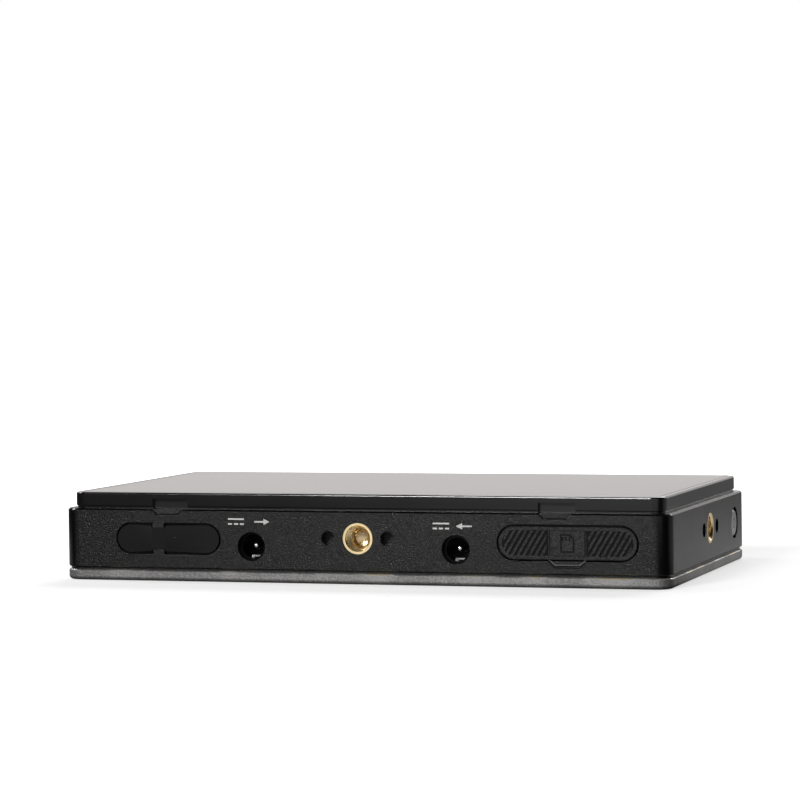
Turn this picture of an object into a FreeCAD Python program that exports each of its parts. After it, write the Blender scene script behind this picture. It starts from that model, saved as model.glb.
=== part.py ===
"""Camera field monitor, lying on its back plate with the screen up.

Frame: the origin is at the middle of the footprint, +Z is up out of the screen, +X is the
screen's right and the lower edge of the screen, with the power sockets, faces -Y. Millimetres.
"""

import FreeCAD
import Part
import Sketcher
import os

VERTICAL_VENTS = 7
BATTERY_BLADES = 3
GRIP_RIBS = 11

# Driving dimensions, by the piece that they belong to.
DRIVING = {
    "frame_width": 160.0,
    "frame_depth": 91.0,
    "frame_height": 15.1,
    "frame_wall": 3.8,
    "frame_edge": 0.35,
    "corner_radius": 4.3,
    "inner_corner": 1.4,
    "lip_wall": 2.5,
    "lip_depth": 1.9,
    "web_thickness": 1.2,
    "web_drop": 3.4,
    "seam_gap": 0.6,
    "seam_depth": 0.6,
    "fit_gap": 0.2,
    "slot_gap": 0.4,
    "press_gap": 0.02,
    "overrun": 1.0,
    "plate_height": 2.7,
    "plate_floor": 1.6,
    "plate_rim": 2.0,
    "plate_edge": 1.0,
    "plate_bevel": 0.25,
    "vent_length": 26.0,
    "vent_width": 2.2,
    "vent_pitch": 5.0,
    "vent_share": 0.30625,
    "bezel_inset": 1.85,
    "bezel_gap": 0.5,
    "bezel_step": 0.35,
    "bezel_height": 3.6,
    "bezel_round": 0.5,
    "bezel_foot": 0.2,
    "bezel_corner": 3.4,
    "bezel_rim": 1.65,
    "bezel_ledge": 2.1,
    "spigot_wall": 1.3,
    "glass_thickness": 1.5,
    "glass_gap": 0.15,
    "glass_edge": 0.2,
    "tape_thickness": 0.4,
    "screen_side": 9.0,
    "screen_gap": 0.3,
    "screen_sheet": 0.5,
    "screen_tray": 5.0,
    "screen_corner": 1.5,
    "cell_thickness": 1.6,
    "insert_diameter": 8.0,
    "insert_length": 6.0,
    "insert_tail": 2.2,
    "insert_tail_diameter": 6.6,
    "insert_floor": 0.8,
    "insert_cone": 0.7,
    "insert_collar": 1.6,
    "insert_groove": 0.6,
    "insert_boss": 1.6,
    "thread_bore": 5.1,
    "thread_mouth": 6.8,
    "mount_height": 11.55,
    "side_mount_y": 1.4,
    "pin_spacing": 15.6,
    "pin_diameter": 3.7,
    "pin_depth": 3.0,
    "clip_share": 0.319375,
    "clip_width": 9.6,
    "clip_height": 2.0,
    "clip_depth": 1.3,
    "dent_top": 8.5,
    "dent_bottom": 5.9,
    "dent_height": 1.4,
    "dent_depth": 0.7,
    "cover_thickness": 1.5,
    "cover_gap": 0.35,
    "pocket_round": 0.2,
    "cover_plug": 1.3,
    "usb_share": 0.31875,
    "usb_height": 10.9,
    "usb_length": 28.4,
    "usb_tall": 7.8,
    "usb_notch_share": 0.0933,
    "usb_notch_width": 3.05,
    "usb_notch_depth": 1.1,
    "usb_hinge_slit": 0.2,
    "usb_port_share": 0.2465,
    "usb_port_width": 9.0,
    "usb_port_tall": 3.2,
    "usb_port_length": 7.4,
    "usb_port_wall": 0.35,
    "usb_corner_share": 0.33,
    "usb_mouth_share": 0.8,
    "usb_tongue_width_share": 0.75,
    "usb_tongue_length_share": 0.7,
    "usb_tongue_tall_share": 0.28,
    "usb_plug_width": 9.4,
    "usb_plug_tall": 3.4,
    "usb_way_gap": 0.75,
    "usb_stud_diameter": 3.0,
    "card_share": 0.588068,
    "card_height": 11.1,
    "card_length": 35.8,
    "card_tall": 8.8,
    "card_grip_width": 10.9,
    "card_panel_width": 9.6,
    "card_panel_gap": 0.5,
    "card_panel_drop": 0.12,
    "card_grip_rise": 0.25,
    "card_rib_width": 0.75,
    "card_rib_pitch": 1.5,
    "card_lean_share": 0.6,
    "card_rim": 0.9,
    "card_strap_width": 18.0,
    "card_strap_tall": 1.2,
    "card_strap_depth": 1.4,
    "card_slot_width": 24.6,
    "card_slot_tall": 2.3,
    "card_socket_wall": 1.0,
    "card_socket_tall": 2.7,
    "card_socket_length": 29.0,
    "card_plug_tall": 2.0,
    "card_way_gap": 0.5,
    "nail_top": 10.2,
    "nail_bottom": 6.5,
    "nail_height": 1.65,
    "nail_depth": 0.8,
    "dc_out_share": 0.1775,
    "dc_in_share": 0.160375,
    "dc_height": 9.15,
    "dc_hole": 7.4,
    "dc_bore": 5.9,
    "dc_bore_depth": 9.0,
    "dc_body": 8.6,
    "dc_length": 11.0,
    "dc_nose_root": 2.75,
    "dc_setback": 1.6,
    "dc_pin_diameter": 2.0,
    "dc_pin_bevel": 0.5,
    "dc_pin_setback": 3.1,
    "dc_leaf_width": 2.4,
    "dc_leaf_sheet": 0.4,
    "dc_leaf_reach": 0.55,
    "ear_width": 1.4,
    "ear_sheet": 0.5,
    "button_inset": 13.7,
    "button_height": 10.6,
    "button_hole": 8.4,
    "button_cap": 7.2,
    "button_setback": 0.15,
    "button_edge": 0.4,
    "button_flange": 10.0,
    "button_flange_sheet": 1.2,
    "button_travel": 0.5,
    "switch_plunger": 3.4,
    "switch_stroke": 1.4,
    "switch_side": 6.2,
    "switch_board": 1.0,
    "switch_board_width": 14.0,
    "switch_board_tall": 7.0,
    "hdmi_in_share": 0.2418,
    "hdmi_out_share": 0.011,
    "phone_share": 0.2418,
    "port_setback": 0.4,
    "hdmi_width": 15.0,
    "hdmi_tall": 5.6,
    "hdmi_length": 11.6,
    "hdmi_wall": 0.5,
    "hdmi_tongue": 1.5,
    "hdmi_edge": 1.2,
    "hdmi_mouth_share": 0.85,
    "hdmi_tongue_length_share": 0.75,
    "hdmi_tongue_width_share": 0.72,
    "phone_width": 6.6,
    "phone_tall": 5.6,
    "phone_length": 12.5,
    "phone_nose": 5.2,
    "phone_bore": 3.6,
    "phone_floor": 1.65,
    "board_thickness": 1.6,
    "board_drop": 2.6,
    "board_margin": 6.4,
    "board_front": 10.4,
    "board_rear": 15.5,
    "post_diameter": 6.0,
    "post_gap": 2.5,
    "post_inset_x": 26.0,
    "post_inset_y": 12.0,
    "chip_side": 19.0,
    "chip_thickness": 1.6,
    "chip_share": 0.1625,
    "chip_y": 6.0,
    "flex_width": 24.0,
    "flex_sheet": 0.3,
    "flex_bend": 1.0,
    "flex_share": 0.175,
    "flex_landing": 5.0,
    "bay_gap": 0.16,
    "bay_margin": 8.25,
    "bay_depth": 5.4,
    "bay_floor": 1.4,
    "bay_wall": 1.5,
    "bay_flange": 2.4,
    "bay_flange_sheet": 1.0,
    "bay_corner": 2.0,
    "bay_lip": 0.3,
    "hook_length": 8.0,
    "hook_reach": 1.5,
    "hook_sheet": 1.6,
    "hook_setback": 0.9,
    "hook_spacing": 38.0,
    "blade_pitch": 6.6,
    "blade_sheet": 0.8,
    "blade_width": 3.0,
    "blade_reach": 3.2,
    "blade_inset": 4.0,
    "latch_width": 14.0,
    "latch_depth": 4.0,
    "latch_reach": 2.2,
    "latch_flange": 1.4,
    "latch_flange_sheet": 1.0,
    "latch_inset": 3.0,
    "latch_ramp_share": 0.8,
    "leaf_span": 15.0,
    "leaf_width": 4.0,
    "leaf_foot": 3.0,
    "leaf_sheet": 0.3,
    "screw_inset": 5.9,
    "screw_head": 4.6,
    "screw_head_tall": 1.0,
    "screw_shank": 2.2,
    "screw_length": 6.0,
    "screw_boss": 5.0,
    "screw_socket": 1.8,
    "screw_socket_share": 0.6,
    "board_screw_head": 4.0,
    "board_screw_tall": 1.2,
    "board_screw_shank": 1.9,
    "board_screw_length": 3.4,
}

doc = FreeCAD.newDocument("FieldMonitor")
sheet = doc.addObject("Spreadsheet::Sheet", "Sizes")
pieces = {}


class Size:
    """A length: its value now, and the sheet expression that it is tied to."""

    def __init__(self, value, text):
        self.value = value
        self.text = text

    def __add__(self, other):
        value, text = term(other)
        return Size(self.value + value, f"({self.text} + {text})")

    def __radd__(self, other):
        return self + other

    def __neg__(self):
        return Size(-self.value, f"(-1 * {self.text})")

    def __sub__(self, other):
        value, text = term(other)
        return Size(self.value - value, f"({self.text} - {text})")

    def __rsub__(self, other):
        return other + -self

    def __mul__(self, share):
        value, text = term(share)
        return Size(self.value * value, f"({self.text} * {text})")

    def __rmul__(self, share):
        return self * share

    def __truediv__(self, count):
        value, text = term(count)
        return Size(self.value / value, f"({self.text} / {text})")


def term(part):
    """The value and the expression of a size or of a plain number."""
    if isinstance(part, Size):
        return part.value, part.text
    return float(part), repr(float(part))


class Sheet:
    """Gives each cell of the sheet as a size, by its alias."""

    def __getattr__(self, alias):
        return Size(DRIVING[alias], f"Sizes.{alias}")


def fill_sheet():
    """Writes the driving dimensions into the sheet, one alias to a row."""
    for row, (alias, value) in enumerate(DRIVING.items(), start=1):
        sheet.set(f"A{row}", alias)
        sheet.set(f"B{row}", str(value))
        sheet.setAlias(f"B{row}", alias)
    doc.recompute()


fill_sheet()
S = Sheet()

# Levels and edges that several pieces share.
RIGHT = S.frame_width / 2
LEFT = -RIGHT
REAR = S.frame_depth / 2
FRONT = -REAR
FRAME_BOTTOM = S.plate_height + S.seam_gap
FRAME_TOP = FRAME_BOTTOM + S.frame_height
WEB_TOP = FRAME_TOP - S.web_drop
WEB_BOTTOM = WEB_TOP - S.web_thickness
LEDGE = FRAME_TOP - S.lip_depth
BEZEL_BOTTOM = FRAME_TOP + S.bezel_gap
TOP = BEZEL_BOTTOM + S.bezel_height
GLASS_BOTTOM = TOP - S.glass_thickness
TAPE_BOTTOM = GLASS_BOTTOM - S.tape_thickness
CELL_BOTTOM = TAPE_BOTTOM - S.cell_thickness
BOARD_TOP = WEB_BOTTOM - S.board_drop
BOARD_BOTTOM = BOARD_TOP - S.board_thickness
BOARD_MIDDLE = BOARD_TOP - S.board_thickness / 2
BOARD_RIGHT = RIGHT - S.frame_wall - S.board_margin
BOARD_FRONT = FRONT + S.board_front
BOARD_REAR = REAR - S.board_rear
INNER_FRONT = FRONT + S.frame_wall
INNER_RIGHT = RIGHT - S.frame_wall
SCREEN_WIDTH = S.frame_width - 2 * S.screen_side
SCREEN_DEPTH = S.frame_depth - 2 * (S.insert_length + S.screen_gap)
DC_OUT_X = -S.frame_width * S.dc_out_share
DC_IN_X = S.frame_width * S.dc_in_share
USB_X = -S.frame_width * S.usb_share
USB_NOTCH_X = USB_X - S.usb_length * S.usb_notch_share
USB_PORT_X = USB_X + S.usb_length * S.usb_port_share
CARD_FROM_X = DC_IN_X + S.dc_hole / 2
CARD_TO_X = RIGHT - S.screw_inset - S.screw_boss / 2
CARD_X = CARD_FROM_X + (CARD_TO_X - CARD_FROM_X) * S.card_share
CARD_SOCKET_WIDTH = S.card_slot_width + 2 * S.card_socket_wall
CLIP_X = S.frame_width * S.clip_share
CHIP_X = -S.frame_width * S.chip_share
FLEX_X = S.frame_width * S.flex_share
HDMI_IN_Y = S.frame_depth * S.hdmi_in_share
HDMI_OUT_Y = -S.frame_depth * S.hdmi_out_share
PHONE_Y = -S.frame_depth * S.phone_share
BUTTON_Y = REAR - S.button_inset
BAY_WIDTH = 2 * (DC_IN_X - S.dc_body / 2 - S.bay_gap - S.bay_wall)
BAY_LENGTH = S.frame_depth - 2 * S.bay_margin
BAY_TOP = S.bay_depth + S.bay_floor
ZERO = Size(0.0, "0.0")


def tie(thing, path, size):
    """Ties one property of an object to a size."""
    thing.setExpression(path, size.text)


def place(thing, x, y, z, rotation=None):
    """Puts an object at a point given in sizes, turned by a rotation."""
    if rotation is not None:
        thing.Placement = FreeCAD.Placement(FreeCAD.Vector(), rotation)
    for axis, size in zip("xyz", (x, y, z)):
        tie(thing, f"Placement.Base.{axis}", size)
    return thing


def block(low, high):
    """A box between two corners."""
    box = doc.addObject("Part::Box", "Block")
    for side, near, far in zip(("Length", "Width", "Height"), low, high):
        tie(box, side, far - near)
    return place(box, *low)


def centred_block(x, y, z, width, depth, height):
    """A box around a point."""
    half = (width / 2, depth / 2, height / 2)
    low = [c - h for c, h in zip((x, y, z), half)]
    high = [c + h for c, h in zip((x, y, z), half)]
    return block(low, high)


TURNS = {
    "z": FreeCAD.Rotation(),
    "-z": FreeCAD.Rotation(FreeCAD.Vector(1, 0, 0), 180),
    "x": FreeCAD.Rotation(FreeCAD.Vector(0, 1, 0), 90),
    "-x": FreeCAD.Rotation(FreeCAD.Vector(0, 1, 0), -90),
    "y": FreeCAD.Rotation(FreeCAD.Vector(1, 0, 0), -90),
    "-y": FreeCAD.Rotation(FreeCAD.Vector(1, 0, 0), 90),
}


def rod(x, y, z, axis, length, diameter):
    """A cylinder that starts at a point and runs along an axis."""
    cylinder = doc.addObject("Part::Cylinder", "Rod")
    tie(cylinder, "Radius", diameter / 2)
    tie(cylinder, "Height", length)
    return place(cylinder, x, y, z, TURNS[axis])


def fuse(parts):
    """One solid from several that touch or overlap."""
    if len(parts) == 1:
        return parts[0]
    joined = doc.addObject("Part::MultiFuse", "Fusion")
    joined.Shapes = list(parts)
    joined.Refine = True
    return joined


def cut(base, tools):
    """A solid with several tools taken out of it."""
    remains = doc.addObject("Part::Cut", "Cut")
    remains.Base = base
    remains.Tool = fuse(tools)
    remains.Refine = True
    return remains


def common(first, second):
    """What two solids share."""
    shared = doc.addObject("Part::Common", "Common")
    shared.Base = first
    shared.Tool = second
    return shared


def group(parts):
    """Separate solids that share one node."""
    compound = doc.addObject("Part::Compound", "Group")
    compound.Links = list(parts)
    return compound


def piece(label, thing):
    """Names a finished sub-part."""
    thing.Label = label
    pieces[label] = thing
    return thing


def new_body():
    """An empty body for sketches and features."""
    return doc.addObject("PartDesign::Body", "Body")


def sketch_on(body, role, offset=ZERO):
    """A sketch on one of the body's own planes, moved along the plane's normal."""
    sketch = body.newObject("Sketcher::SketchObject", "Sketch")
    planes = [f for f in body.Origin.OriginFeatures if f.Role == role]
    sketch.AttachmentSupport = (planes[0], [""])
    sketch.MapMode = "FlatFace"
    tie(sketch, "AttachmentOffset.Base.z", offset)
    return sketch


def pin_point(sketch, geometry, position, x, y):
    """Ties a point of a sketch to its two distances from the origin."""
    for kind, size in (("DistanceX", x), ("DistanceY", y)):
        if size is None:
            continue
        rule = Sketcher.Constraint(kind, -1, 1, geometry, position, size.value)
        index = sketch.addConstraint(rule)
        tie(sketch, f"Constraints[{index}]", size)


def bulge_point(start, end, centre, outward):
    """The middle of an arc that swells to the right of its way, or to the left."""
    radius = (start - centre).Length
    along = end - start
    side = FreeCAD.Vector(along.y, -along.x, 0) * (1 if outward else -1)
    return centre + side.normalize() * radius


def draw(sketch, corners, arcs=None):
    """Draws a closed outline, anticlockwise, through corners given in sizes.

    arcs maps a side's number to (centre x, centre y, swells outward); other sides are straight.
    """
    arcs = arcs or {}
    points = [FreeCAD.Vector(x.value, y.value, 0) for x, y in corners]
    ends = []
    for side, start in enumerate(points):
        end = points[(side + 1) % len(points)]
        if side in arcs:
            x, y, outward = arcs[side]
            centre = FreeCAD.Vector(x.value, y.value, 0)
            middle = bulge_point(start, end, centre, outward)
            curve = Part.Arc(start, middle, end)
            ends.append((1, 2) if outward else (2, 1))
        else:
            curve = Part.LineSegment(start, end)
            ends.append((1, 2))
        sketch.addGeometry(curve, False)
    for side, (x, y) in enumerate(corners):
        after = (side + 1) % len(corners)
        joint = Sketcher.Constraint("Coincident", side, ends[side][1], after, ends[after][0])
        sketch.addConstraint(joint)
        pin_point(sketch, side, ends[side][0], x, y)
        if side in arcs:
            pin_point(sketch, side, 3, arcs[side][0], None)
    return sketch


def draw_rectangle(sketch, x, y, width, height):
    """A rectangle around a point."""
    left, right = x - width / 2, x + width / 2
    low, high = y - height / 2, y + height / 2
    return draw(sketch, [(left, low), (right, low), (right, high), (left, high)])


def draw_rounded(sketch, x, y, width, height, radius):
    """A rectangle with round corners around a point."""
    left, right = x - width / 2, x + width / 2
    low, high = y - height / 2, y + height / 2
    corners = [
        (left + radius, low),
        (right - radius, low),
        (right, low + radius),
        (right, high - radius),
        (right - radius, high),
        (left + radius, high),
        (left, high - radius),
        (left, low + radius),
    ]
    arcs = {
        1: (right - radius, low + radius, True),
        3: (right - radius, high - radius, True),
        5: (left + radius, high - radius, True),
        7: (left + radius, low + radius, True),
    }
    return draw(sketch, corners, arcs)


def draw_pill(sketch, x, y, length, height):
    """A slot with half-round ends around a point."""
    reach = length / 2 - height / 2
    low, high = y - height / 2, y + height / 2
    corners = [(x - reach, low), (x + reach, low), (x + reach, high), (x - reach, high)]
    return draw(sketch, corners, {1: (x + reach, y, True), 3: (x - reach, y, True)})


def pad(body, sketch, length, backwards=False):
    """Extrudes a sketch along its normal, or against it."""
    feature = body.newObject("PartDesign::Pad", "Pad")
    feature.Profile = sketch
    feature.Reversed = backwards
    tie(feature, "Length", length)
    return feature


def pocket(body, sketch, depth, backwards=False):
    """Cuts a sketch against its normal, or along it."""
    feature = body.newObject("PartDesign::Pocket", "Pocket")
    feature.Profile = sketch
    feature.Reversed = backwards
    tie(feature, "Length", depth)
    return feature


def edges_at(feature, height, inset):
    """The names of a feature's edges that lie at a height, within an inset of its outline."""
    shape = feature.Shape
    box = shape.BoundBox
    names = []
    for number, edge in enumerate(shape.Edges, start=1):
        around = edge.BoundBox
        level = abs(around.ZMin - height.value) < 1e-6 and abs(around.ZMax - height.value) < 1e-6
        middle = edge.valueAt((edge.FirstParameter + edge.LastParameter) / 2)
        depth = min(middle.x - box.XMin, box.XMax - middle.x, middle.y - box.YMin, box.YMax - middle.y)
        if level and depth < inset.value:
            names.append(f"Edge{number}")
    return names


def round_edges(body, feature, height, inset, radius):
    """Rounds a feature's outer edges at a height."""
    doc.recompute()
    rounded = body.newObject("PartDesign::Fillet", "Fillet")
    rounded.Base = (feature, edges_at(feature, height, inset))
    tie(rounded, "Radius", radius)
    return rounded


def bevel_edges(body, feature, height, inset, size):
    """Bevels a feature's outer edges at a height."""
    doc.recompute()
    bevelled = body.newObject("PartDesign::Chamfer", "Chamfer")
    bevelled.Base = (feature, edges_at(feature, height, inset))
    tie(bevelled, "Size", size)
    return bevelled


def slab(x, y, width, depth, radius, bottom, top):
    """A plate with round corners, as a body of its own."""
    body = new_body()
    sketch = draw_rounded(sketch_on(body, "XY_Plane", bottom), x, y, width, depth, radius)
    pad(body, sketch, top - bottom)
    return body


def turned(profile):
    """A body turned about its own Z axis from a profile of radius and height."""
    body = new_body()
    sketch = draw(sketch_on(body, "XZ_Plane"), profile)
    feature = body.newObject("PartDesign::Revolution", "Revolution")
    feature.Profile = sketch
    feature.ReferenceAxis = (sketch, ["V_Axis"])
    feature.Angle = 360
    return body


def upright_pill(x, z, length, height, near, depth):
    """A pill-shaped block on the front, from a distance behind the front face inwards."""
    body = new_body()
    sketch = sketch_on(body, "XZ_Plane", -(FRONT + near))
    draw_pill(sketch, x, z, length, height)
    pad(body, sketch, depth, backwards=True)
    return body


def upright_shape(corners, depth):
    """A block on the front face, of an outline of x and z, running inwards."""
    body = new_body()
    sketch = draw(sketch_on(body, "XZ_Plane", -FRONT + S.overrun), corners)
    pad(body, sketch, depth + S.overrun, backwards=True)
    return body


def mouth_edges(feature, x, z, width, tall):
    """The names of a recess tool's edges in the front face, within its outline."""
    names = []
    for number, edge in enumerate(feature.Shape.Edges, start=1):
        around = edge.BoundBox
        level = abs(around.YMin - FRONT.value) < 1e-6 and abs(around.YMax - FRONT.value) < 1e-6
        middle = edge.valueAt((edge.FirstParameter + edge.LastParameter) / 2)
        across = abs(middle.x - x.value) < width.value / 2 + 1e-6
        if level and across and abs(middle.z - z.value) < tall.value / 2 + 1e-6:
            names.append(f"Edge{number}")
    return names


def flare(body, x, z, width, tall):
    """Widens a recess tool's mouth, so that its recess has a rounded edge on the front face."""
    brim = sketch_on(body, "XZ_Plane", -FRONT)
    draw_rectangle(brim, x, z, width + 2 * S.overrun, tall + 2 * S.overrun)
    feature = pad(body, brim, S.overrun)
    doc.recompute()
    rounded = body.newObject("PartDesign::Fillet", "Fillet")
    rounded.Base = (feature, mouth_edges(feature, x, z, width, tall))
    tie(rounded, "Radius", S.pocket_round)
    return body


def trapezium(x, top, height, wide, narrow):
    """Corners of a trapezium that narrows downwards from a level."""
    low = top - height
    return [
        (x - narrow / 2, low),
        (x + narrow / 2, low),
        (x + wide / 2, top),
        (x - wide / 2, top),
    ]


# Back plate


def screw_places():
    """Where the back screws stand, one in each corner."""
    x = RIGHT - S.screw_inset
    y = REAR - S.screw_inset
    return [(-x, -y), (x, -y), (-x, y), (x, y)]


def back_plate():
    """Shallow metal pan with the battery opening, the vents and the screw seats."""
    body = new_body()
    outline = sketch_on(body, "XY_Plane")
    draw_rounded(outline, ZERO, ZERO, S.frame_width, S.frame_depth, S.corner_radius)
    base = pad(body, outline, S.plate_height)
    rounded = round_edges(body, base, ZERO, S.corner_radius, S.plate_edge)
    bevel_edges(body, rounded, S.plate_height, S.corner_radius, S.plate_bevel)
    inside = sketch_on(body, "XY_Plane", S.plate_height)
    width = S.frame_width - 2 * S.plate_rim
    depth = S.frame_depth - 2 * S.plate_rim
    draw_rounded(inside, ZERO, ZERO, width, depth, S.corner_radius - S.plate_rim)
    pocket(body, inside, S.plate_height - S.plate_floor)
    bay = bay_shell(S.fit_gap, -S.overrun, S.plate_height)
    tools = [bay]
    for side in (-1, 1):
        for row in range(VERTICAL_VENTS):
            y = S.vent_pitch * (row - (VERTICAL_VENTS - 1) / 2)
            tools.append(vent(side * S.frame_width * S.vent_share, y))
    for x, y in screw_places():
        shank = S.screw_shank + 2 * S.fit_gap
        head = S.screw_head + 2 * S.fit_gap
        tools.append(rod(x, y, -S.overrun, "z", S.plate_height + S.overrun, shank))
        tools.append(rod(x, y, -S.overrun, "z", S.screw_head_tall + S.overrun, head))
    piece("back_plate", cut(body, tools))


def vent(x, y):
    """One vent slot through the plate."""
    body = new_body()
    draw_pill(sketch_on(body, "XY_Plane", -S.overrun), x, y, S.vent_length, S.vent_width)
    pad(body, body.Group[-1], S.plate_height + S.overrun)
    return body


def back_screws():
    """Four socket screws that hold the plate to the frame."""
    screws = []
    for x, y in screw_places():
        head = rod(x, y, ZERO, "z", S.screw_head_tall, S.screw_head)
        shank = rod(x, y, ZERO, "z", S.screw_head_tall + S.screw_length, S.screw_shank)
        deep = S.screw_head_tall * S.screw_socket_share + S.overrun
        socket = rod(x, y, -S.overrun, "z", deep, S.screw_socket)
        screws.append(cut(fuse([head, shank]), [socket]))
    piece("back_screws", group(screws))


# Battery bay


def bay_shell(grow, bottom, top):
    """The outer block of the battery bay, grown sideways by a clearance."""
    width = BAY_WIDTH + 2 * S.bay_wall + 2 * grow
    depth = BAY_LENGTH + 2 * S.bay_wall + 2 * grow
    return slab(ZERO, ZERO, width, depth, S.bay_corner + S.bay_wall, bottom, top)


def blade_places():
    """The middle of each battery blade."""
    y = -BAY_LENGTH / 2 + S.blade_inset
    middle = (BATTERY_BLADES - 1) / 2
    return [(S.blade_pitch * (number - middle), y) for number in range(BATTERY_BLADES)]


def latch_y():
    """The middle of the battery latch."""
    return BAY_LENGTH / 2 - S.latch_inset


def battery_tray():
    """Moulded bay for a slide-in camera battery, with four hooks and a flange on the plate."""
    wall = bay_shell(ZERO, S.bay_lip, BAY_TOP)
    width = BAY_WIDTH + 2 * S.bay_wall + 2 * S.bay_flange
    depth = BAY_LENGTH + 2 * S.bay_wall + 2 * S.bay_flange
    radius = S.bay_corner + S.bay_wall + S.bay_flange
    flange_top = S.plate_floor + S.bay_flange_sheet
    flange = slab(ZERO, ZERO, width, depth, radius, S.plate_floor, flange_top)
    inside = slab(ZERO, ZERO, BAY_WIDTH, BAY_LENGTH, S.bay_corner, -S.overrun, S.bay_depth)
    hooks = []
    for side in (-1, 1):
        for end in (-1, 1):
            x = side * (BAY_WIDTH / 2 - (S.hook_reach - S.bay_wall / 2) / 2)
            y = end * S.hook_spacing / 2
            z = S.hook_setback + S.hook_sheet / 2
            reach = S.hook_reach + S.bay_wall / 2
            hooks.append(centred_block(x, y, z, reach, S.hook_length, S.hook_sheet))
    tools = []
    middle = S.bay_depth + S.bay_floor / 2
    through = S.bay_floor + 2 * S.overrun
    for x, y in blade_places():
        sheet_gap = S.blade_sheet + S.fit_gap
        width_gap = S.blade_width + S.fit_gap
        tools.append(centred_block(x, y, middle, sheet_gap, width_gap, through))
    width = S.latch_width + 2 * S.fit_gap
    depth = S.latch_depth + 2 * S.fit_gap
    tools.append(centred_block(ZERO, latch_y(), middle, width, depth, through))
    hollow = cut(fuse([wall, flange]), [inside])
    piece("battery_tray", cut(fuse([hollow] + hooks), tools))


def battery_contacts():
    """Blades that reach from the board through the bay's floor."""
    blades = []
    low = S.bay_depth - S.blade_reach
    for x, y in blade_places():
        near = [x - S.blade_sheet / 2, y - S.blade_width / 2, low]
        far = [x + S.blade_sheet / 2, y + S.blade_width / 2, BOARD_BOTTOM]
        blades.append(block(near, far))
    piece("battery_contacts", group(blades))


def latch_levels():
    """The latch's lowest face and the top of its flange."""
    return S.bay_depth - S.latch_reach, BAY_TOP + S.latch_flange_sheet


def battery_latch():
    """Spring-loaded stop in the bay's floor, with a ramp where the battery runs over it."""
    low, top = latch_levels()
    y = latch_y()
    body = new_body()
    sketch = sketch_on(body, "YZ_Plane", -S.latch_width / 2)
    back, front = y + S.latch_depth / 2, y - S.latch_depth / 2
    ramp = S.latch_reach * S.latch_ramp_share
    corners = [(front, low), (back - ramp, low), (back, low + ramp), (back, top), (front, top)]
    draw(sketch, corners)
    pad(body, sketch, S.latch_width)
    width = S.latch_width + 2 * S.latch_flange
    depth = S.latch_depth + 2 * S.latch_flange
    middle = BAY_TOP + S.latch_flange_sheet / 2
    flange = centred_block(ZERO, y, middle, width, depth, S.latch_flange_sheet)
    piece("battery_latch", fuse([body, flange]))


def latch_spring():
    """Bowed leaf between the latch and the frame's web."""
    low, high = latch_levels()[1], WEB_BOTTOM
    half = S.leaf_span / 2
    body = new_body()
    sketch = sketch_on(body, "XZ_Plane", -(latch_y() + S.leaf_width / 2))
    foot = S.leaf_foot / 2
    corners = [
        (-foot, low),
        (foot, low),
        (half, high - S.leaf_sheet),
        (half, high),
        (half - foot, high),
        (foot - S.leaf_sheet, low + S.leaf_sheet),
        (S.leaf_sheet - foot, low + S.leaf_sheet),
        (foot - half, high),
        (-half, high),
        (-half, high - S.leaf_sheet),
    ]
    draw(sketch, corners)
    pad(body, sketch, S.leaf_width)
    piece("latch_spring", body)


# Main frame


def frame_shell():
    """Outer walls with the foot and tongue on the plate, the screen's web and the bezel's ledge."""
    body = new_body()
    outline = sketch_on(body, "XY_Plane", FRAME_BOTTOM)
    draw_rounded(outline, ZERO, ZERO, S.frame_width, S.frame_depth, S.corner_radius)
    wall = pad(body, outline, S.frame_height)
    edge = bevel_edges(body, wall, FRAME_TOP, S.corner_radius, S.frame_edge)
    bevel_edges(body, edge, FRAME_BOTTOM, S.corner_radius, S.frame_edge)
    inset = S.plate_rim + S.fit_gap
    tongue = sketch_on(body, "XY_Plane", S.plate_floor)
    width, depth = S.frame_width - 2 * inset, S.frame_depth - 2 * inset
    draw_rounded(tongue, ZERO, ZERO, width, depth, S.corner_radius - S.plate_rim)
    pad(body, tongue, FRAME_BOTTOM - S.plate_floor + S.frame_edge)
    foot = sketch_on(body, "XY_Plane", S.plate_height + S.press_gap)
    width, depth = S.frame_width - 2 * S.seam_depth, S.frame_depth - 2 * S.seam_depth
    draw_rounded(foot, ZERO, ZERO, width, depth, S.corner_radius - S.seam_depth)
    pad(body, foot, S.seam_gap - S.press_gap + S.frame_edge)
    width, depth = S.frame_width - 2 * S.frame_wall, S.frame_depth - 2 * S.frame_wall
    lower = sketch_on(body, "XY_Plane", S.plate_floor)
    draw_rounded(lower, ZERO, ZERO, width, depth, S.inner_corner)
    pocket(body, lower, WEB_BOTTOM - S.plate_floor, backwards=True)
    upper = sketch_on(body, "XY_Plane", FRAME_TOP)
    draw_rounded(upper, ZERO, ZERO, width, depth, S.inner_corner)
    pocket(body, upper, S.web_drop)
    lip = sketch_on(body, "XY_Plane", FRAME_TOP)
    width, depth = S.frame_width - 2 * S.lip_wall, S.frame_depth - 2 * S.lip_wall
    draw_rounded(lip, ZERO, ZERO, width, depth, S.corner_radius - S.lip_wall / 2)
    pocket(body, lip, S.lip_depth)
    return body


def post_places():
    """Where the board's four posts hang from the web, clear of the card socket."""
    front = BOARD_FRONT + S.post_inset_y
    rear = BOARD_REAR - S.post_inset_y / 2
    front_x = CARD_X - CARD_SOCKET_WIDTH / 2 - S.board_screw_head / 2 - S.post_gap
    pairs = ((front_x, front), (RIGHT - S.post_inset_x, rear))
    return [(side * x, y) for x, y in pairs for side in (-1, 1)]


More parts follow.
